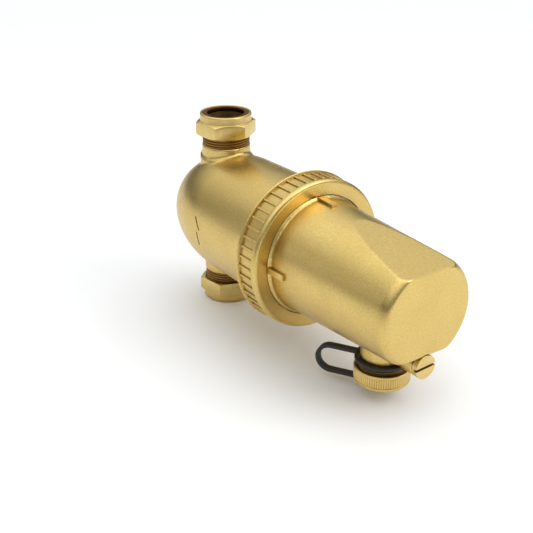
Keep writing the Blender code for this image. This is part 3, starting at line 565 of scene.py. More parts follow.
def machined_brass(name, base, crevice_shade, roughness=0.30, lines=5200.0):
    """Turned brass with faint tool lines along the pipe's direction, handling marks and painted shade in its
    corners.
    """
    material, tree, shader, place = finish(name, base, 1.0, roughness)
    tool = noise(tree, drawn_out(tree, place, (0.03, 0.03, 1.0)), lines, 2.0, 0.5)
    wear = noise(tree, place, 240.0, 5.0, 0.65)
    tone = blend(tree, span(tree, wear, 0.3, 0.75, 0.0, 0.6), base, shade(base, 0.84))
    # Painted shade: corners and recesses blend to the crevice colour where occlusion is high.
    tone = blend(tree, span(tree, shelter(tree, 4.0 * MM), 0.25, 0.85, 0.7, 0.0), tone, crevice_shade)
    connect(tree, shader, tone, span(tree, wear, 0.3, 0.7, roughness - 0.05, roughness + 0.09))
    relief(tree, shader, ((tool, 0.16, 0.04 * MM), (wear, 0.10, 0.06 * MM)))
    return material


def rubber(name, base):
    """Moulded rubber with a faint bloom."""
    material, tree, shader, place = finish(name, base, 0.0, 0.5, Specular_IOR_Level=0.45)
    bloom = noise(tree, place, 420.0, 4.0, 0.6)
    skin = noise(tree, place, 2400.0, 3.0, 0.6)
    pale = tuple(channel + 0.022 for channel in base)
    connect(tree, shader, blend(tree, span(tree, bloom, 0.35, 0.75, 0.0, 0.8), base, pale),
            span(tree, bloom, 0.3, 0.7, 0.42, 0.62))
    relief(tree, shader, ((skin, 0.25, 0.05 * MM),))
    return material


def steel(name, base, roughness):
    """Drawn stainless steel with fine lines along its length."""
    material, tree, shader, place = finish(name, base, 1.0, roughness)
    drawn = noise(tree, drawn_out(tree, place, (1.0, 0.02, 1.0)), 3000.0, 3.0, 0.6)
    stain = noise(tree, place, 150.0, 4.0, 0.6)
    connect(tree, shader, blend(tree, span(tree, stain, 0.35, 0.7, 0.0, 0.6), base, shade(base, 0.75)),
            span(tree, drawn, 0.3, 0.7, roughness - 0.06, roughness + 0.08))
    relief(tree, shader, ((drawn, 0.12, 0.03 * MM),))
    return material


def polymer(name, base):
    """Glass-filled moulding with a matt, slightly pebbled skin."""
    material, tree, shader, place = finish(name, base, 0.0, 0.55)
    flow = noise(tree, place, 180.0, 3.0, 0.6)
    pebble = noise(tree, place, 1500.0, 3.0, 0.6)
    connect(tree, shader, blend(tree, span(tree, flow, 0.4, 0.7, 0.0, 0.7), base, shade(base, 1.8)),
            span(tree, pebble, 0.3, 0.7, 0.45, 0.65))
    relief(tree, shader, ((pebble, 0.2, 0.06 * MM),))
    return material


def material(name):
    """Return a finish by name, made when it is first asked for."""
    if name in bpy.data.materials:
        return bpy.data.materials[name]
    tones = bpy.context.scene.filter_finishes
    cast_tone, machined, crevice_shade = tuple(tones.cast), tuple(tones.machined), tuple(tones.crevice_shade)
    steel_tone = tuple(tones.steel)
    makers = {
        "blasted brass": lambda: cast_brass(name, cast_tone, crevice_shade),
        "turned brass": lambda: machined_brass(name, machined, crevice_shade),
        # Thread brass is darkened as painted shade; its corners shade further to the bore tone.
        "thread brass": lambda: machined_brass(name, tuple(tones.thread), tuple(tones.bore), 0.38),
        # Dark bore: painted shade inside holes.
        "dark bore": lambda: machined_brass(name, tuple(tones.bore), tuple(tones.bore), 0.45),
        "black rubber": lambda: rubber(name, tuple(tones.rubber)),
        "drawn steel": lambda: steel(name, steel_tone, 0.30),
        "nickel plate": lambda: steel(name, shade(steel_tone, 0.8), 0.18),
        "filled polymer": lambda: polymer(name, tuple(tones.polymer)),
    }
    return makers[name]()


# Pieces

class FILTER_OT_rear_body(bpy.types.Operator):
    """Casting with the dome, both necks and the union thread"""
    bl_idname = "filter.rear_body"
    bl_label = "Rear Body"

    def execute(self, context):
        s = context.scene.filter_body
        pads = [self.pad(s, matrix) for matrix in (UPRIGHT, INVERTED)]
        necks = [self.neck(s, matrix) for matrix in (UPRIGHT, INVERTED)]
        body = piece("rear_body_casting", merged(self.barrel(s), *pads, *necks), material("blasted brass"),
                     material("dark bore"))
        cast(body, s.voxel, 5)
        ways = [self.waterway(s, matrix) for matrix in (UPRIGHT, INVERTED)]
        carve(body, "DIFFERENCE", self.cavity(s), *ways, *self.strokes(s))
        # Painted shade: the walls of the pipe sockets take the dark bore finish.
        paint(body, 1, lambda c: math.hypot(c.x, c.y) < s.pipe + 0.1 * MM and abs(c.z) > s.barrel - s.wall)
        smoothed(body, 50.0)
        ride(body, "housing", "cast_brass", "rear_body")
        self.threads(s)
        return {"FINISHED"}

    def barrel(self, s):
        """Solid outside of the barrel and its dome."""
        depth = BODY_HIGH.y + s.dome_start
        thread_back = s.front - s.collar_thread - s.run_out
        root = s.collar - s.collar_depth
        profile = [(0.0, s.front), (root, s.front), (root, thread_back),
                   (s.collar, thread_back), (s.collar, thread_back - s.land),
                   (s.barrel + s.flare, thread_back - 2 * s.land)]
        profile += arc((0.0, s.dome_start), (s.barrel, depth), 0, -90, 40)
        return turned(profile, 160, FORWARD)

    def cavity(self, s):
        """Space inside the barrel and its dome."""
        bore = s.barrel - s.wall
        depth = BODY_HIGH.y + s.dome_start - s.wall
        profile = [(0.0, s.front + 1.0 * MM), (bore, s.front + 1.0 * MM)]
        profile += arc((0.0, s.dome_start), (bore, depth), 0, -90, 24)
        return turned(profile, 128, FORWARD)

    def pad(self, s, matrix):
        """Low boss that follows the barrel round the foot of a neck."""
        pad = piece("pad", rod(s.boss + s.boss_foot, s.barrel / 2, s.thread_low, 96, matrix))
        carve(pad, "INTERSECT", rod(s.barrel + s.boss_rise, -2 * s.boss, 2 * s.boss, 128, FORWARD))
        return taken(pad)

    def neck(self, s, matrix):
        """Smooth wall below the thread of a neck."""
        profile = [(0.0, s.thread_low + OVERLAP), (s.boss, s.thread_low + OVERLAP),
                   (s.boss, s.barrel / 2), (0.0, s.barrel / 2)]
        return turned(profile, 96, matrix)

    def waterway(self, s, matrix):
        """Pipe socket and the hole behind it."""
        top = s.thread_low + 2.0 * MM
        profile = [(0.0, top), (s.pipe, top), (s.pipe, s.pipe_stop), (s.waterway, s.pipe_stop),
                   (s.waterway, s.barrel / 2.2), (0.0, s.barrel / 2.2)]
        return turned(profile, 96, matrix)

    def strokes(self, s):
        """Two stepped strokes engraved on the side of the barrel."""
        tools = []
        # each end is millimetres forward of the pipe line and degrees above the filter axis
        for start, end in (((20.1, 12.0), (25.0, 0.6)), ((22.1, -2.4), (22.9, -15.5))):
            forward = (start[0] + end[0]) / 2 * MM
            rise = s.barrel * math.radians(start[1] - end[1])
            slant = -math.atan2((end[0] - start[0]) * MM, rise)
            length = math.hypot(rise, (end[0] - start[0]) * MM)
            middle = math.radians((start[1] + end[1]) / 2)
            centre = Vector((-s.barrel * math.cos(middle), -forward, s.barrel * math.sin(middle)))
            turn = Matrix.Rotation(middle, 4, "Y") @ Matrix.Rotation(slant, 4, "X")
            half = s.mark_width / 2
            tools.append(box((-s.mark_depth, -half, -length / 2), (2 * s.mark_depth, half, length / 2),
                             Matrix.Translation(centre) @ turn))
        return tools

    def threads(self, s):
        """Thread sleeves of both necks and of the collar."""
        root = s.neck
        for name, matrix in (("inlet_thread", UPRIGHT), ("outlet_thread", INVERTED)):
            sleeve = piece(name, helix(root, root + s.neck_thread, s.pipe, s.thread_low, s.mouth,
                                       PORT_PITCH, 64, matrix), material("thread brass"),
                           material("dark bore"), sharp=40.0)
            # Painted shade: the bore of each thread sleeve takes the dark bore finish.
            paint(sleeve, 1, lambda c: math.hypot(c.x, c.y) < s.pipe + 0.1 * MM)
            ride(sleeve, "housing", "machined_brass")
        low = s.front - s.collar_thread - s.run_out
        bore = s.collar - s.collar_depth - OVERLAP
        collar = piece("collar_thread", helix(bore + OVERLAP, s.collar, bore, low, s.front - 0.5 * MM,
                                              UNION_PITCH, 96, FORWARD), material("turned brass"), sharp=40.0)
        ride(collar, "housing", "machined_brass")


class FILTER_OT_nuts(bpy.types.Operator):
    """Compression nuts and the olives inside them"""
    bl_idname = "filter.nuts"
    bl_label = "Compression Nuts"

    def execute(self, context):
        s = context.scene.filter_nuts
        body = context.scene.filter_body
        for name, matrix, turn in (("inlet", UPRIGHT, s.inlet_turn), ("outlet", INVERTED, s.outlet_turn)):
            self.nut(name, matrix, turn, s, body)
            self.olive(name, matrix, body)
        return {"FINISHED"}

    def nut(self, name, matrix, turn, s, body):
        """Hexagon with chamfered corners, a round collar and a recessed rim."""
        corner = s.flat / math.cos(math.pi / 6)
        drop, foot = 1.35 * MM, 0.9 * MM        # chamfers at the front and back of the hexagon
        hex_top = s.rim - s.collar_length
        room = body.neck + body.neck_thread + s.play
        cone = body.mouth + s.olive_room
        lip, recess, fillet, past = s.collar - s.lip, 0.3 * MM, 0.5 * MM, 0.2 * MM
        profile = [(body.pipe, s.rim - recess), (lip, s.rim - recess), (lip + recess, s.rim)]
        profile += arc((s.collar - s.edge, s.rim - s.edge), (s.edge, s.edge), 90, 0, 6)
        profile += [(s.collar, hex_top + fillet)]
        profile += arc((s.collar + fillet, hex_top + fillet), (fillet, fillet), 180, 270, 3)
        profile += [(s.flat + past, hex_top), (corner + past, hex_top - drop),
                    (corner + past, s.back + foot), (s.flat + 3 * past, s.back),
                    (room, s.back), (room, cone), (body.pipe, cone + s.cone)]
        nut = piece(name + "_compression_nut", turned(profile, 120, matrix),
                    material("turned brass"), material("dark bore"))
        hexagon = rod(corner, s.back - 1.0 * MM, s.rim + 1.0 * MM, 6, matrix @ Matrix.Rotation(turn, 4, "Z"))
        sides = [e for e in hexagon.edges if abs(e.verts[0].co.z - e.verts[1].co.z) > 1.0 * MM]
        bmesh.ops.bevel(hexagon, geom=sides, offset=0.35 * MM, affect="EDGES", segments=3, profile=0.5,
                        material=-1)
        carve(nut, "INTERSECT", hexagon)
        bevelled(nut, 0.14 * MM, 2, 24.0)
        # Painted shade in the nut's bore; the recessed rim face gets the same dark finish.
        paint(nut, 1, lambda c: math.hypot(c.x, c.y) < lip + 0.05 * MM)
        ride(nut, name + "_nut", "machined_brass", name + "_nut")

    def olive(self, name, matrix, body):
        """Barrel-shaped compression ring."""
        low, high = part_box(name + "_olive")
        middle = (abs(low.z) + abs(high.z)) / 2
        half = (high.z - low.z) / 2
        crown = high.x
        profile = [(body.pipe, middle - half), (body.pipe, middle + half)]
        profile += arc((body.pipe + 0.3 * MM, middle), (crown - body.pipe - 0.3 * MM, half), 80, -80, 10)
        ring = piece(name + "_compression_olive", turned(profile, 96, matrix), material("turned brass"))
        ride(ring, name + "_clamp", "machined_brass", name + "_olive")


class FILTER_OT_union_ring(bpy.types.Operator):
    """Ring with a rounded shoulder and ribs whose tips are balls"""
    bl_idname = "filter.union_ring"
    bl_label = "Union Ring"

    def execute(self, context):
        s = context.scene.filter_ring
        ring = piece("union_ring_casting", self.base(s), material("blasted brass"))
        carve(ring, "UNION", self.ribs(s), self.tips(s))
        smoothed(ring, 38.0)
        ride(ring, "union_ring", "cast_brass", "union_ring")
        return {"FINISHED"}

    def base(self, s):
        """Ring with its lip, bead, pocket floor and rear rim."""
        bead = s.outer - s.bead_drop
        floor = s.outer - s.pocket_drop
        face = s.outer - s.face_drop
        bead_back = s.front - s.bead
        height = bead - floor
        profile = [(s.lip, s.front), (face, s.front)]
        profile += arc((face, s.front - s.bead / 2), (bead - face, s.bead / 2 - 0.25 * MM), 86, 0, 10)
        profile += arc((bead - height, bead_back + height), (height, height), 0, -60, 5)
        profile += [(floor, bead_back), (floor, s.back + s.rim + 0.5 * MM),
                    (s.outer - 0.3 * MM, s.back + s.rim), (s.outer, s.back + s.rim * 0.6),
                    (s.outer - 0.5 * MM, s.back), (s.bore, s.back),
                    (s.bore, s.lip_back), (s.lip, s.lip_back)]
        return turned(profile, 240, FORWARD)

    def ribs(self, s):
        """Low bars with rounded edges, one for each rib."""
        crest = s.outer - s.bead_drop
        foot = s.outer - s.pocket_drop - 0.4 * MM
        low, high = s.back + s.rim * 0.6, s.front - s.bead - 0.1 * MM
        bar = box((foot, -s.rib / 2, low), (crest, s.rib / 2, high))
        crown = [e for e in bar.edges if all(v.co.x > crest - 0.01 * MM for v in e.verts)]
        bmesh.ops.bevel(bar, geom=crown, offset=0.28 * MM, affect="EDGES", segments=2, profile=0.5,
                        material=-1)
        return self.round_the_ring(s, bar)

    def tips(self, s):
        """Ball at the front end of each rib."""
        ball = bmesh.new()
        proud, behind = 0.3 * MM, 0.3 * MM
        outward = s.outer - s.bead_drop - s.ball + proud
        where = Matrix.Translation((outward, 0.0, s.front - s.bead - behind))
        bmesh.ops.create_uvsphere(ball, u_segments=14, v_segments=9, radius=s.ball, matrix=where)
        return self.round_the_ring(s, ball)

    def round_the_ring(self, s, shape):
        """Copies of a shape at every rib."""
        bm = bmesh.new()
        mesh = bpy.data.meshes.new("copies")
        shape.to_mesh(mesh)
        shape.free()
        for i in range(s.ribs):
            start = len(bm.verts)
            bm.from_mesh(mesh)
            bm.verts.ensure_lookup_table()
            turn = Matrix.Rotation(2 * math.pi * i / s.ribs, 3, "Z")
            bmesh.ops.rotate(bm, verts=bm.verts[start:], matrix=turn)
        bpy.data.meshes.remove(mesh)
        return settled(bm, FORWARD)


class FILTER_OT_canister(bpy.types.Operator):
    """Canister with its flats, gussets, drain neck and screw boss"""
    bl_idname = "filter.canister"
    bl_label = "Canister"

    def execute(self, context):
        s = context.scene.filter_canister
        drain = context.scene.filter_drain
        body = piece("canister_casting", turned(self.outside(s), 192, FORWARD), material("blasted brass"))
        carve(body, "DIFFERENCE", self.flat(s, 1), self.flat(s, -1))
        neck_foot, neck_end = s.flat_low + 0.6 * MM, drain.thread_top + OVERLAP
        neck = turned([(0.0, neck_end), (drain.neck, neck_end), (drain.neck, neck_foot), (0.0, neck_foot)],
                      96, DRAIN)
        boss = rod(drain.boss, DRAIN_FORWARD, drain.boss_front, 64, SPINDLE)
        shell = bmesh.new()
        shell.from_mesh(body.data)
        merged(shell, neck, boss).to_mesh(body.data)
        shell.free()
        cast(body, s.voxel, 3)
        carve(body, "UNION", self.gussets(s))
        clearance, shank_bore, past = 0.45 * MM, 4.3 * MM, s.front + 5.0 * MM
        room = rod(drain.boss + clearance, drain.boss_front, past, 64, SPINDLE)
        bore = rod(shank_bore, DRAIN_FORWARD, past, 48, SPINDLE)
        outlet = rod(drain.bore, SPINDLE_DOWN, drain.thread_end, 48, DRAIN)
        carve(body, "DIFFERENCE", self.inside(s), room, bore, outlet, *self.grooves(s))
        smoothed(body, 50.0)
        ride(body, "canister", "cast_brass", "canister")
        thread = piece("drain_thread", helix(drain.neck, drain.thread, drain.bore, drain.thread_top,
                                             drain.thread_end, PORT_PITCH, 64, DRAIN),
                       material("thread brass"), sharp=40.0)
        ride(thread, "canister", "machined_brass")
        return {"FINISHED"}

    def outside(self, s):
        """Solid outline from the spigot to the nose."""
        gasket_gap = 0.3 * MM
        gasket_front = -GASKET_LOW.y + gasket_gap
        spigot_back = gasket_front - s.spigot_length
        fillet = 1.3 * MM
        outline = [(0.0, s.front)]
        edge = s.rounding * s.squeeze
        outline += arc((s.nose - edge, s.front - s.rounding), (edge, s.rounding), 90, 0, 16)
        outline += arc((s.barrel + fillet, s.shoulder_front + fillet * 0.4), (fillet, fillet), 180, 235, 4)
        outline += [(s.shoulder, s.shoulder_front), (s.shoulder, gasket_front),
                    (s.spigot, gasket_front), (s.spigot, spigot_back), (0.0, spigot_back)]
        return outline

    def inside(self, s):
        """Space for the basket, with the socket that holds the sheath."""
        cavity_front = s.front - s.front_wall
        socket, sheath = 12.0 * MM, 9.3 * MM
        socket_floor = cavity_front + 1.5 * MM
        socket_rim = cavity_front - 8.0 * MM
        open_end = -RETAINER_HIGH.y - 20.0 * MM
        outline = [(0.0, socket_floor), (sheath, socket_floor), (sheath, socket_rim), (socket, socket_rim),
                   (socket, cavity_front), (s.cone, cavity_front), (s.cavity, s.flat_back),
                   (s.cavity, open_end), (0.0, open_end)]
        return turned(outline, 128, FORWARD)

    def grooves(self, s):
        """Rings cut for the retainer and for the seal."""
        back, front = -RETAINER_HIGH.y - 0.3 * MM, -RETAINER_LOW.y + 0.3 * MM
        deep, open_r = s.shoulder - 2.0 * MM, s.shoulder + 2.0 * MM
        seal_front = -GASKET_LOW.y - 4.2 * MM
        seal_back = seal_front - 2.8 * MM
        seal = s.spigot - 2.2 * MM
        retainer = turned([(deep, back), (open_r, back), (open_r, front), (deep, front)], 144, FORWARD)
        packing = turned([(seal, seal_back), (open_r, seal_back), (open_r, seal_front), (seal, seal_front)],
                         144, FORWARD)
        return retainer, packing

    def flat(self, s, side):
        """Block above or below one of the sloping flats."""
        slope = math.atan2(s.flat_high - s.flat_low, s.front - s.flat_back)
        matrix = (FORWARD @ Matrix.Translation((0.0, side * s.flat_high, s.flat_back))
                  @ Matrix.Rotation(side * slope, 4, "X"))
        low, high = sorted((0.0, side * s.barrel))
        return box((-2 * s.barrel, low, 0.0), (2 * s.barrel, high, s.front), matrix)

    def gussets(self, s):
        """Four ramps that stiffen the shoulder."""
        bm = bmesh.new()
        back, front = s.shoulder_front - 1.0 * MM, s.shoulder_front + s.gusset
        for i in range(4):
            made = bmesh.ops.create_cube(bm, size=1.0)["verts"]
            for vert in made:
                far = vert.co.z > 0
                outward = s.barrel - 1.5 * MM
                if vert.co.x > 0:
                    outward = s.barrel + s.gusset_toe if far else s.shoulder
                side = math.copysign(s.gusset_width / 2, vert.co.y)
                vert.co = Vector((outward, side, front if far else back))
            bmesh.ops.transform(bm, matrix=Matrix.Rotation(math.pi / 2 * i, 4, "Z"), verts=made)
        return settled(bm, FORWARD)


class FILTER_OT_drain(bpy.types.Operator):
    """Knurled drain cap, its button and the slotted screw"""
    bl_idname = "filter.drain"
    bl_label = "Drain Cap and Screw"

    def execute(self, context):
        s = context.scene.filter_drain
        self.cap(s)
        self.button()
        self.screw(s)
        return {"FINISHED"}

    def cap(self, s):
        """Cap whose band is knurled by moving every other column of its wall."""
        outer = (CAP_HIGH.x - CAP_LOW.x) / 2
        rim, end = -CAP_HIGH.z, -CAP_LOW.z
        bore = s.thread + 0.4 * MM
        low, high = rim + 1.1 * MM, end - 2.4 * MM
        crown, fade, edge, chamfer = 2.0 * MM, 0.15 * MM, 0.5 * MM, 0.3 * MM
        profile = [(0.0, end), (outer - 1.3 * crown, end)]
        profile += arc((outer - crown, end - crown), (crown, crown), 90, 0, 7)
        profile += [(outer, high + fade), (outer, high), (outer, (low + high) / 2), (outer, low),
                    (outer, low - fade)]
        profile += arc((outer - edge, rim + edge), (edge, edge), 0, -90, 4)
        floor = end - 1.6 * MM
        profile += [(bore + chamfer, rim), (bore, rim + chamfer), (bore, floor), (0.0, floor)]
        bm = turned(profile, 2 * s.knurls)
        for vert in bm.verts:
            radius = math.hypot(vert.co.x, vert.co.y)
            column = round(math.atan2(vert.co.y, vert.co.x) / math.pi * s.knurls)
            if column % 2 and radius > outer - 0.05 * MM and low - 0.01 * MM < vert.co.z < high + 0.01 * MM:
                vert.co.x *= 1 - s.knurl_depth / radius
                vert.co.y *= 1 - s.knurl_depth / radius
        cap = piece("knurled_drain_cap", settled(bm, DRAIN), material("turned brass"),
                    material("thread brass"), sharp=28.0)
        # Painted shade: the cap's inner bore takes the darker thread finish.
        paint(cap, 1, lambda c: math.hypot(c.x, c.y + DRAIN_FORWARD) < bore + 0.1 * MM
              and c.z > -end + 1.0 * MM)
        ride(cap, "drain_cap", "machined_brass", "drain_cap")

    def button(self):
        """Button under the cap."""
        head = (BUTTON_HIGH.x - BUTTON_LOW.x) / 2
        top, end = -BUTTON_HIGH.z, -BUTTON_LOW.z
        step = end - 1.0 * MM
        stem = head / 2
        profile = rounded([(0.0, end), (head, end), (head, step), (stem, step), (stem, top), (0.0, top)],
                          0.35 * MM)
        button = piece("strap_button", turned(profile, 48, DRAIN), material("turned brass"))
        ride(button, "drain_cap", "machined_brass", "cap_button")

    def screw(self, s):
        """Slotted screw with a grooved shank."""
        head = (SPINDLE_HIGH.x - SPINDLE_LOW.x) / 2
        front, tip = -SPINDLE_LOW.y, -SPINDLE_HIGH.y
        back = front - 3.2 * MM
        shank, groove, taper, point = 4.0 * MM, 2.7 * MM, 3.3 * MM, 1.0 * MM
        seal_front = DRAIN_FORWARD + s.neck
        seal_back = seal_front - 1.6 * MM
        profile = [(0.0, front), (head, front), (head, back), (shank, back), (shank, seal_front),
                   (groove, seal_front), (groove, seal_back), (shank, seal_back),
                   (shank, tip + taper), (point, tip), (0.0, tip)]
        screw = piece("drain_screw", turned(rounded(profile, 0.3 * MM), 72, SPINDLE),
                      material("turned brass"), material("thread brass"))
        slot = box((-2 * head, -s.slot_width / 2, front - s.slot_depth),
                   (2 * head, s.slot_width / 2, front + 1.0 * MM),
                   SPINDLE @ Matrix.Rotation(math.radians(3.0), 4, "Z"))
        carve(screw, "DIFFERENCE", slot)
        bevelled(screw, 0.12 * MM, 2, 40.0)
        # Painted shade: the faces inside the slot take the darker thread finish.
        paint(screw, 1, lambda c: -c.y < front - 0.35 * MM and -c.y > front - s.slot_depth - 0.1 * MM
              and math.hypot(c.x, c.z + SPINDLE_DOWN) < head - 0.4 * MM)
        ride(screw, "drain_spindle", "machined_brass", "drain_spindle")


class FILTER_OT_strap(bpy.types.Operator):
    """Rubber strap from the drain neck to the button under the cap"""
    bl_idname = "filter.strap"
    bl_label = "Cap Strap"

    def execute(self, context):
        s = context.scene.filter_drain
        top = -TETHER_HIGH.z
        inner = s.neck + 0.25 * MM
        wide = 2.5 * MM
        foot = top + s.eyelet
        eyelet = rounded([(inner, top), (inner + wide, top), (inner + wide, foot), (inner, foot)], 0.5 * MM)
        strap = piece("rubber_strap", turned(eyelet, 96, DRAIN), material("black rubber"))
        tab_top, tab_end = -TAB_HIGH.z, -TAB_LOW.z
        hole, rim = 2.3 * MM, 4.7 * MM
        tab = rounded([(hole, tab_top), (rim, tab_top), (rim, tab_end), (hole, tab_end)], 0.35 * MM)
        upper = top + s.eyelet / 2
        lower = (tab_top + tab_end) / 2
        carve(strap, "UNION", self.band(s, upper, lower, inner + wide / 2), turned(tab, 48, DRAIN))
        bevelled(strap, 0.12 * MM, 2, 40.0)
        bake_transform(strap)
        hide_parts("cap_tether", "tether_end")
        return {"FINISHED"}

    def band(self, s, upper, lower, start):
        """Flat band swept from the eyelet round the loop to the tab."""
        bend = (lower - upper) / 2
        centre = s.reach - s.strap_thickness / 2 - bend
        path = [(start + (centre - start) * i / 6, upper) for i in range(6)]
        path += [(centre + x, (upper + lower) / 2 + z) for x, z in arc((0.0, 0.0), (bend, bend), -90, 90, 20)]
        end = 3.4 * MM
        path += [(centre + (end - centre) * i / 8, lower) for i in range(1, 9)]
        half_thick, half_wide, chamfer = s.strap_thickness / 2, s.strap_width / 2, 0.45 * MM
        section = rounded([(-half_thick, -half_wide), (half_thick, -half_wide), (half_thick, half_wide),
                           (-half_thick, half_wide)], chamfer, 2)
        bm = bmesh.new()
        rings = []
        for i, here in enumerate(path):
            before, after = path[max(i - 1, 0)], path[min(i + 1, len(path) - 1)]
            run = Vector((after[0] - before[0], after[1] - before[1])).normalized()
            rings.append([bm.verts.new((here[0] - run.y * out, side, here[1] + run.x * out))
                          for out, side in section])
        loops = [[bm.edges.new((ring[i - 1], ring[i])) for i in range(len(ring))] for ring in rings]
        for first, second in zip(loops, loops[1:]):
            bmesh.ops.bridge_loops(bm, edges=first + second)
        bmesh.ops.contextual_create(bm, geom=loops[0])
        bmesh.ops.contextual_create(bm, geom=loops[-1])
        return settled(bm, DRAIN @ Matrix.Rotation(-s.heading, 4, "Z"))


class FILTER_OT_inner_pieces(bpy.types.Operator):
    """Seals, retainer, strainer basket and magnet sheath"""
    bl_idname = "filter.inner_pieces"
    bl_label = "Inner Pieces"

    def execute(self, context):
        self.seals()
        self.retainer()
        self.basket()
        self.sheath()
        for node, finish_name in self.kept():
            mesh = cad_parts[node].data
            mesh.materials.clear()
            mesh.materials.append(material(finish_name))
        return {"FINISHED"}

    def kept(self):
        """CAD pieces whose own mesh is shown, with their finishes."""
        pairs = [("flow_diverter", "filled polymer"), ("sheath_plug", "turned brass")]
        pairs += [(node, "nickel plate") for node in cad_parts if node.startswith("magnet_")
                  and node != "magnet_sheath"]
        pairs += [(node, "drawn steel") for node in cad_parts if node.startswith("pole_piece_")]
        return pairs

    def seals(self):
        """Round-section seals, the flat gasket and the cap's washer."""
        rings = (("canister_o_ring", "canister_seal", "canister", FORWARD, 96),
                 ("spindle_o_ring", "screw_seal", "spindle_carrier", SPINDLE, 48))
        for node, name, body, matrix, steps in rings:
            low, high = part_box(node)
            outer = (high.x - low.x) / 2
            half = (high.y - low.y) / 2
            middle = -(low.y + high.y) / 2
            profile = arc((outer - half, middle), (half, half), 0, 337.5, 15)
            self.rubber_ring(name, turned(profile, steps, matrix), body, node)
        gasket_hole, washer_hole = 31.7 * MM, 4.0 * MM
        flat = (("flange_gasket", "flat_gasket", "flange_seal", FORWARD, gasket_hole, 1),
                ("cap_washer", "drain_washer", "cap_carrier", DRAIN, washer_hole, 2))
        for node, name, body, matrix, inner, axis in flat:
            low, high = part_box(node)
            outer = (high.x - low.x) / 2
            top, end = -low[axis], -high[axis]
            profile = rounded([(inner, top), (outer, top), (outer, end), (inner, end)], 0.25 * MM)
            self.rubber_ring(name, turned(profile, 96, matrix), body, node)

    def rubber_ring(self, name, bm, body, node):
        """Make a turned mesh a rubber piece of its own."""
        ride(piece(name, bm, material("black rubber")), body, "black_rubber", node)

    def retainer(self):
        """Split ring behind the union ring's lip."""
        outer = (RETAINER_HIGH.x - RETAINER_LOW.x) / 2
        inner = 32.7 * MM
        back, front = -RETAINER_HIGH.y, -RETAINER_LOW.y
        profile = rounded([(inner, front), (outer, front), (outer, back), (inner, back)], 0.2 * MM)
        ring = piece("split_retainer", turned(profile, 144, FORWARD), material("drawn steel"))
        half_gap, past = 2.5 * MM, 1.0 * MM
        gap = box((-half_gap, 0.0, back - past), (half_gap, 2 * outer, front + past), FORWARD)
        carve(ring, "DIFFERENCE", gap)
        ride(ring, "ring_carrier", "stainless_steel", "retaining_ring")

    def basket(self):
        """Strainer basket with round perforations between its bars."""
        outer = (BASKET_HIGH.x - BASKET_LOW.x) / 2
        back, front = -BASKET_HIGH.y, -BASKET_LOW.y
        neck, wall, mouth = 13.5 * MM, 1.2 * MM, 12.3 * MM
        cone = back + 10.5 * MM
        shoulder = cone + 3.5 * MM
        profile = [(mouth, front), (outer, front), (outer, shoulder), (neck, cone), (neck, back),
                   (neck - wall, back), (neck - wall, cone + wall / 2), (outer - wall, shoulder + wall / 2),
                   (outer - wall, front - wall), (mouth, front - wall)]
        basket = piece("strainer", turned(rounded(profile, 0.3 * MM, 2), 96, FORWARD),
                       material("drawn steel"))
        bm = bmesh.new()
        columns, first_row, plain = 24, shoulder + 3.5 * MM, 5.0 * MM
        pitch = 2 * math.pi * outer / columns
        hole = pitch * 0.34
        rows = int((front - shoulder - plain) / pitch)
        sideways = Matrix.Rotation(math.pi / 2, 4, "Y")
        for row in range(rows):
            where = Matrix.Translation((outer - wall / 2, 0.0, first_row + pitch * row))
            for column in range(columns):
                turn = Matrix.Rotation(2 * math.pi * (column + row % 2 / 2) / columns, 4, "Z")
                bmesh.ops.create_cone(bm, cap_ends=True, segments=12, radius1=hole, radius2=hole,
                                      depth=4 * wall, matrix=turn @ where @ sideways)
        carve(basket, "DIFFERENCE", settled(bm, FORWARD))
        ride(basket, "canister", "stainless_steel", "strainer_basket")

    def sheath(self):
        """Thin tube that keeps the magnets dry."""
        outer = (SHEATH_HIGH.x - SHEATH_LOW.x) / 2
        back, front = -SHEATH_HIGH.y, -SHEATH_LOW.y
        wall = 0.8 * MM
        profile = [(0.0, back + wall), (outer - wall, back + wall), (outer - wall, front), (outer, front)]
        profile += arc((outer - 2.0 * MM, back + 2.0 * MM), (2.0 * MM, 2.0 * MM), 0, -90, 8)
        profile.append((0.0, back))
        ride(piece("magnet_sleeve", turned(profile, 72, FORWARD), material("drawn steel")),
             "canister", "stainless_steel", "magnet_sheath")


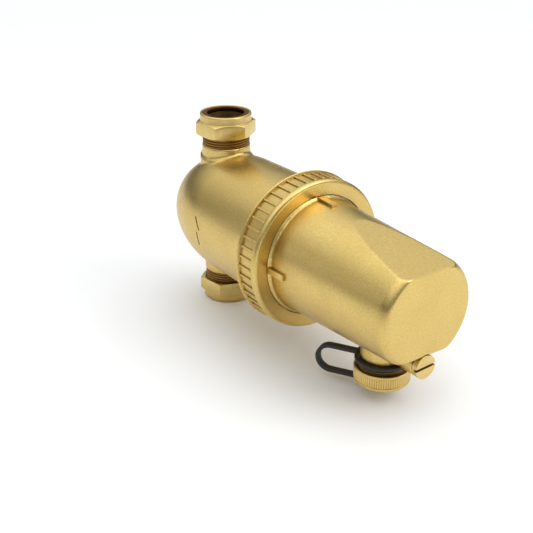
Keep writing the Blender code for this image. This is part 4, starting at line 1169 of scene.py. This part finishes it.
class FILTER_OT_stage(bpy.types.Operator):
    """Floor, lights and camera"""
    bl_idname = "filter.stage"
    bl_label = "Stage"

    def execute(self, context):
        s = context.scene.filter_stage
        self.floor(s)
        self.sky(context)
        self.lights()
        camera = bpy.data.objects.new("camera", bpy.data.cameras.new("camera"))
        camera.data.lens = s.lens
        camera.data.sensor_width = 36.0
        camera.data.clip_start = 0.01
        camera.location = s.camera
        camera.rotation_euler = Vector(s.aim).to_track_quat("-Z", "Y").to_euler()
        context.scene.collection.objects.link(camera)
        context.scene.camera = camera
        context.scene.view_settings.view_transform = "Standard"
        return {"FINISHED"}

    def floor(self, s):
        """Large pale floor."""
        bm = bmesh.new()
        bmesh.ops.create_grid(bm, x_segments=1, y_segments=1, size=3.0,
                              matrix=Matrix.Translation((0.0, 0.0, -s.floor - 0.05 * MM)))
        paper, tree, shader, place = finish("studio paper", (0.92, 0.92, 0.92), 0.0, 0.7)
        tree.links.new(span(tree, noise(tree, place, 30.0), 0.3, 0.7, 0.66, 0.74), shader.inputs["Roughness"])
        piece("studio_floor", bm, paper)

    def sky(self, context):
        """Soft surround, bright above and dim near the horizon."""
        world = bpy.data.worlds.new("studio")
        context.scene.world = world
        world.use_nodes = True
        tree = world.node_tree
        ground = tree.nodes["Background"]
        place = tree.nodes.new("ShaderNodeTexCoord")
        split = tree.nodes.new("ShaderNodeSeparateXYZ")
        tree.links.new(place.outputs["Generated"], split.inputs[0])
        horizon, zenith = 0.02, 1.8
        rise = span(tree, split.outputs["Z"], 0.15, 1.0, horizon, zenith)
        ground.inputs["Color"].default_value = (0.97, 0.99, 1.0, 1.0)
        tree.links.new(rise, ground.inputs["Strength"])

    def lights(self):
        """Soft light in front on the right, and a weaker one low behind on the left."""
        middle = Vector((0.0, -0.08, 0.0))
        for name, place, power, width in (("front_softbox", (0.45, -0.80, 0.60), 3.0, 0.6),
                                          ("left_softbox", (-1.30, 1.10, 0.35), 0.7, 0.5)):
            lamp = bpy.data.lights.new(name, "AREA")
            lamp.energy = power
            lamp.size = width
            item = bpy.data.objects.new(name, lamp)
            item.location = place
            item.rotation_euler = (middle - Vector(place)).to_track_quat("-Z", "Y").to_euler()
            bpy.context.scene.collection.objects.link(item)


OPERATORS = (FILTER_OT_stage, FILTER_OT_rear_body, FILTER_OT_nuts, FILTER_OT_union_ring, FILTER_OT_canister,
             FILTER_OT_drain, FILTER_OT_strap, FILTER_OT_inner_pieces)


class FILTER_PT_sidebar(bpy.types.Panel):
    """Buttons for the filter's pieces"""
    bl_idname = "FILTER_PT_sidebar"
    bl_label = "Magnetic System Filter"
    bl_space_type = "VIEW_3D"
    bl_region_type = "UI"
    bl_category = "Filter"

    def draw(self, context):
        for operator in OPERATORS:
            self.layout.operator(operator.bl_idname)
        for group in GROUPS:
            values = getattr(context.scene, group)
            column = self.layout.column()
            for prop in values.bl_rna.properties:
                if prop.identifier not in {"rna_type", "name"}:
                    column.prop(values, prop.identifier)


def register():
    for group, kind in GROUPS.items():
        bpy.utils.register_class(kind)
        setattr(bpy.types.Scene, group, PointerProperty(type=kind))
    for kind in (*OPERATORS, FILTER_PT_sidebar):
        bpy.utils.register_class(kind)


def unregister():
    for kind in (FILTER_PT_sidebar, *reversed(OPERATORS)):
        bpy.utils.unregister_class(kind)
    for group, kind in reversed(GROUPS.items()):
        delattr(bpy.types.Scene, group)
        bpy.utils.unregister_class(kind)


def main():
    """Build every piece."""
    register()
    for operator in OPERATORS:
        family, name = operator.bl_idname.split(".")
        getattr(getattr(bpy.ops, family), name)()


if __name__ == "__main__":
    main()
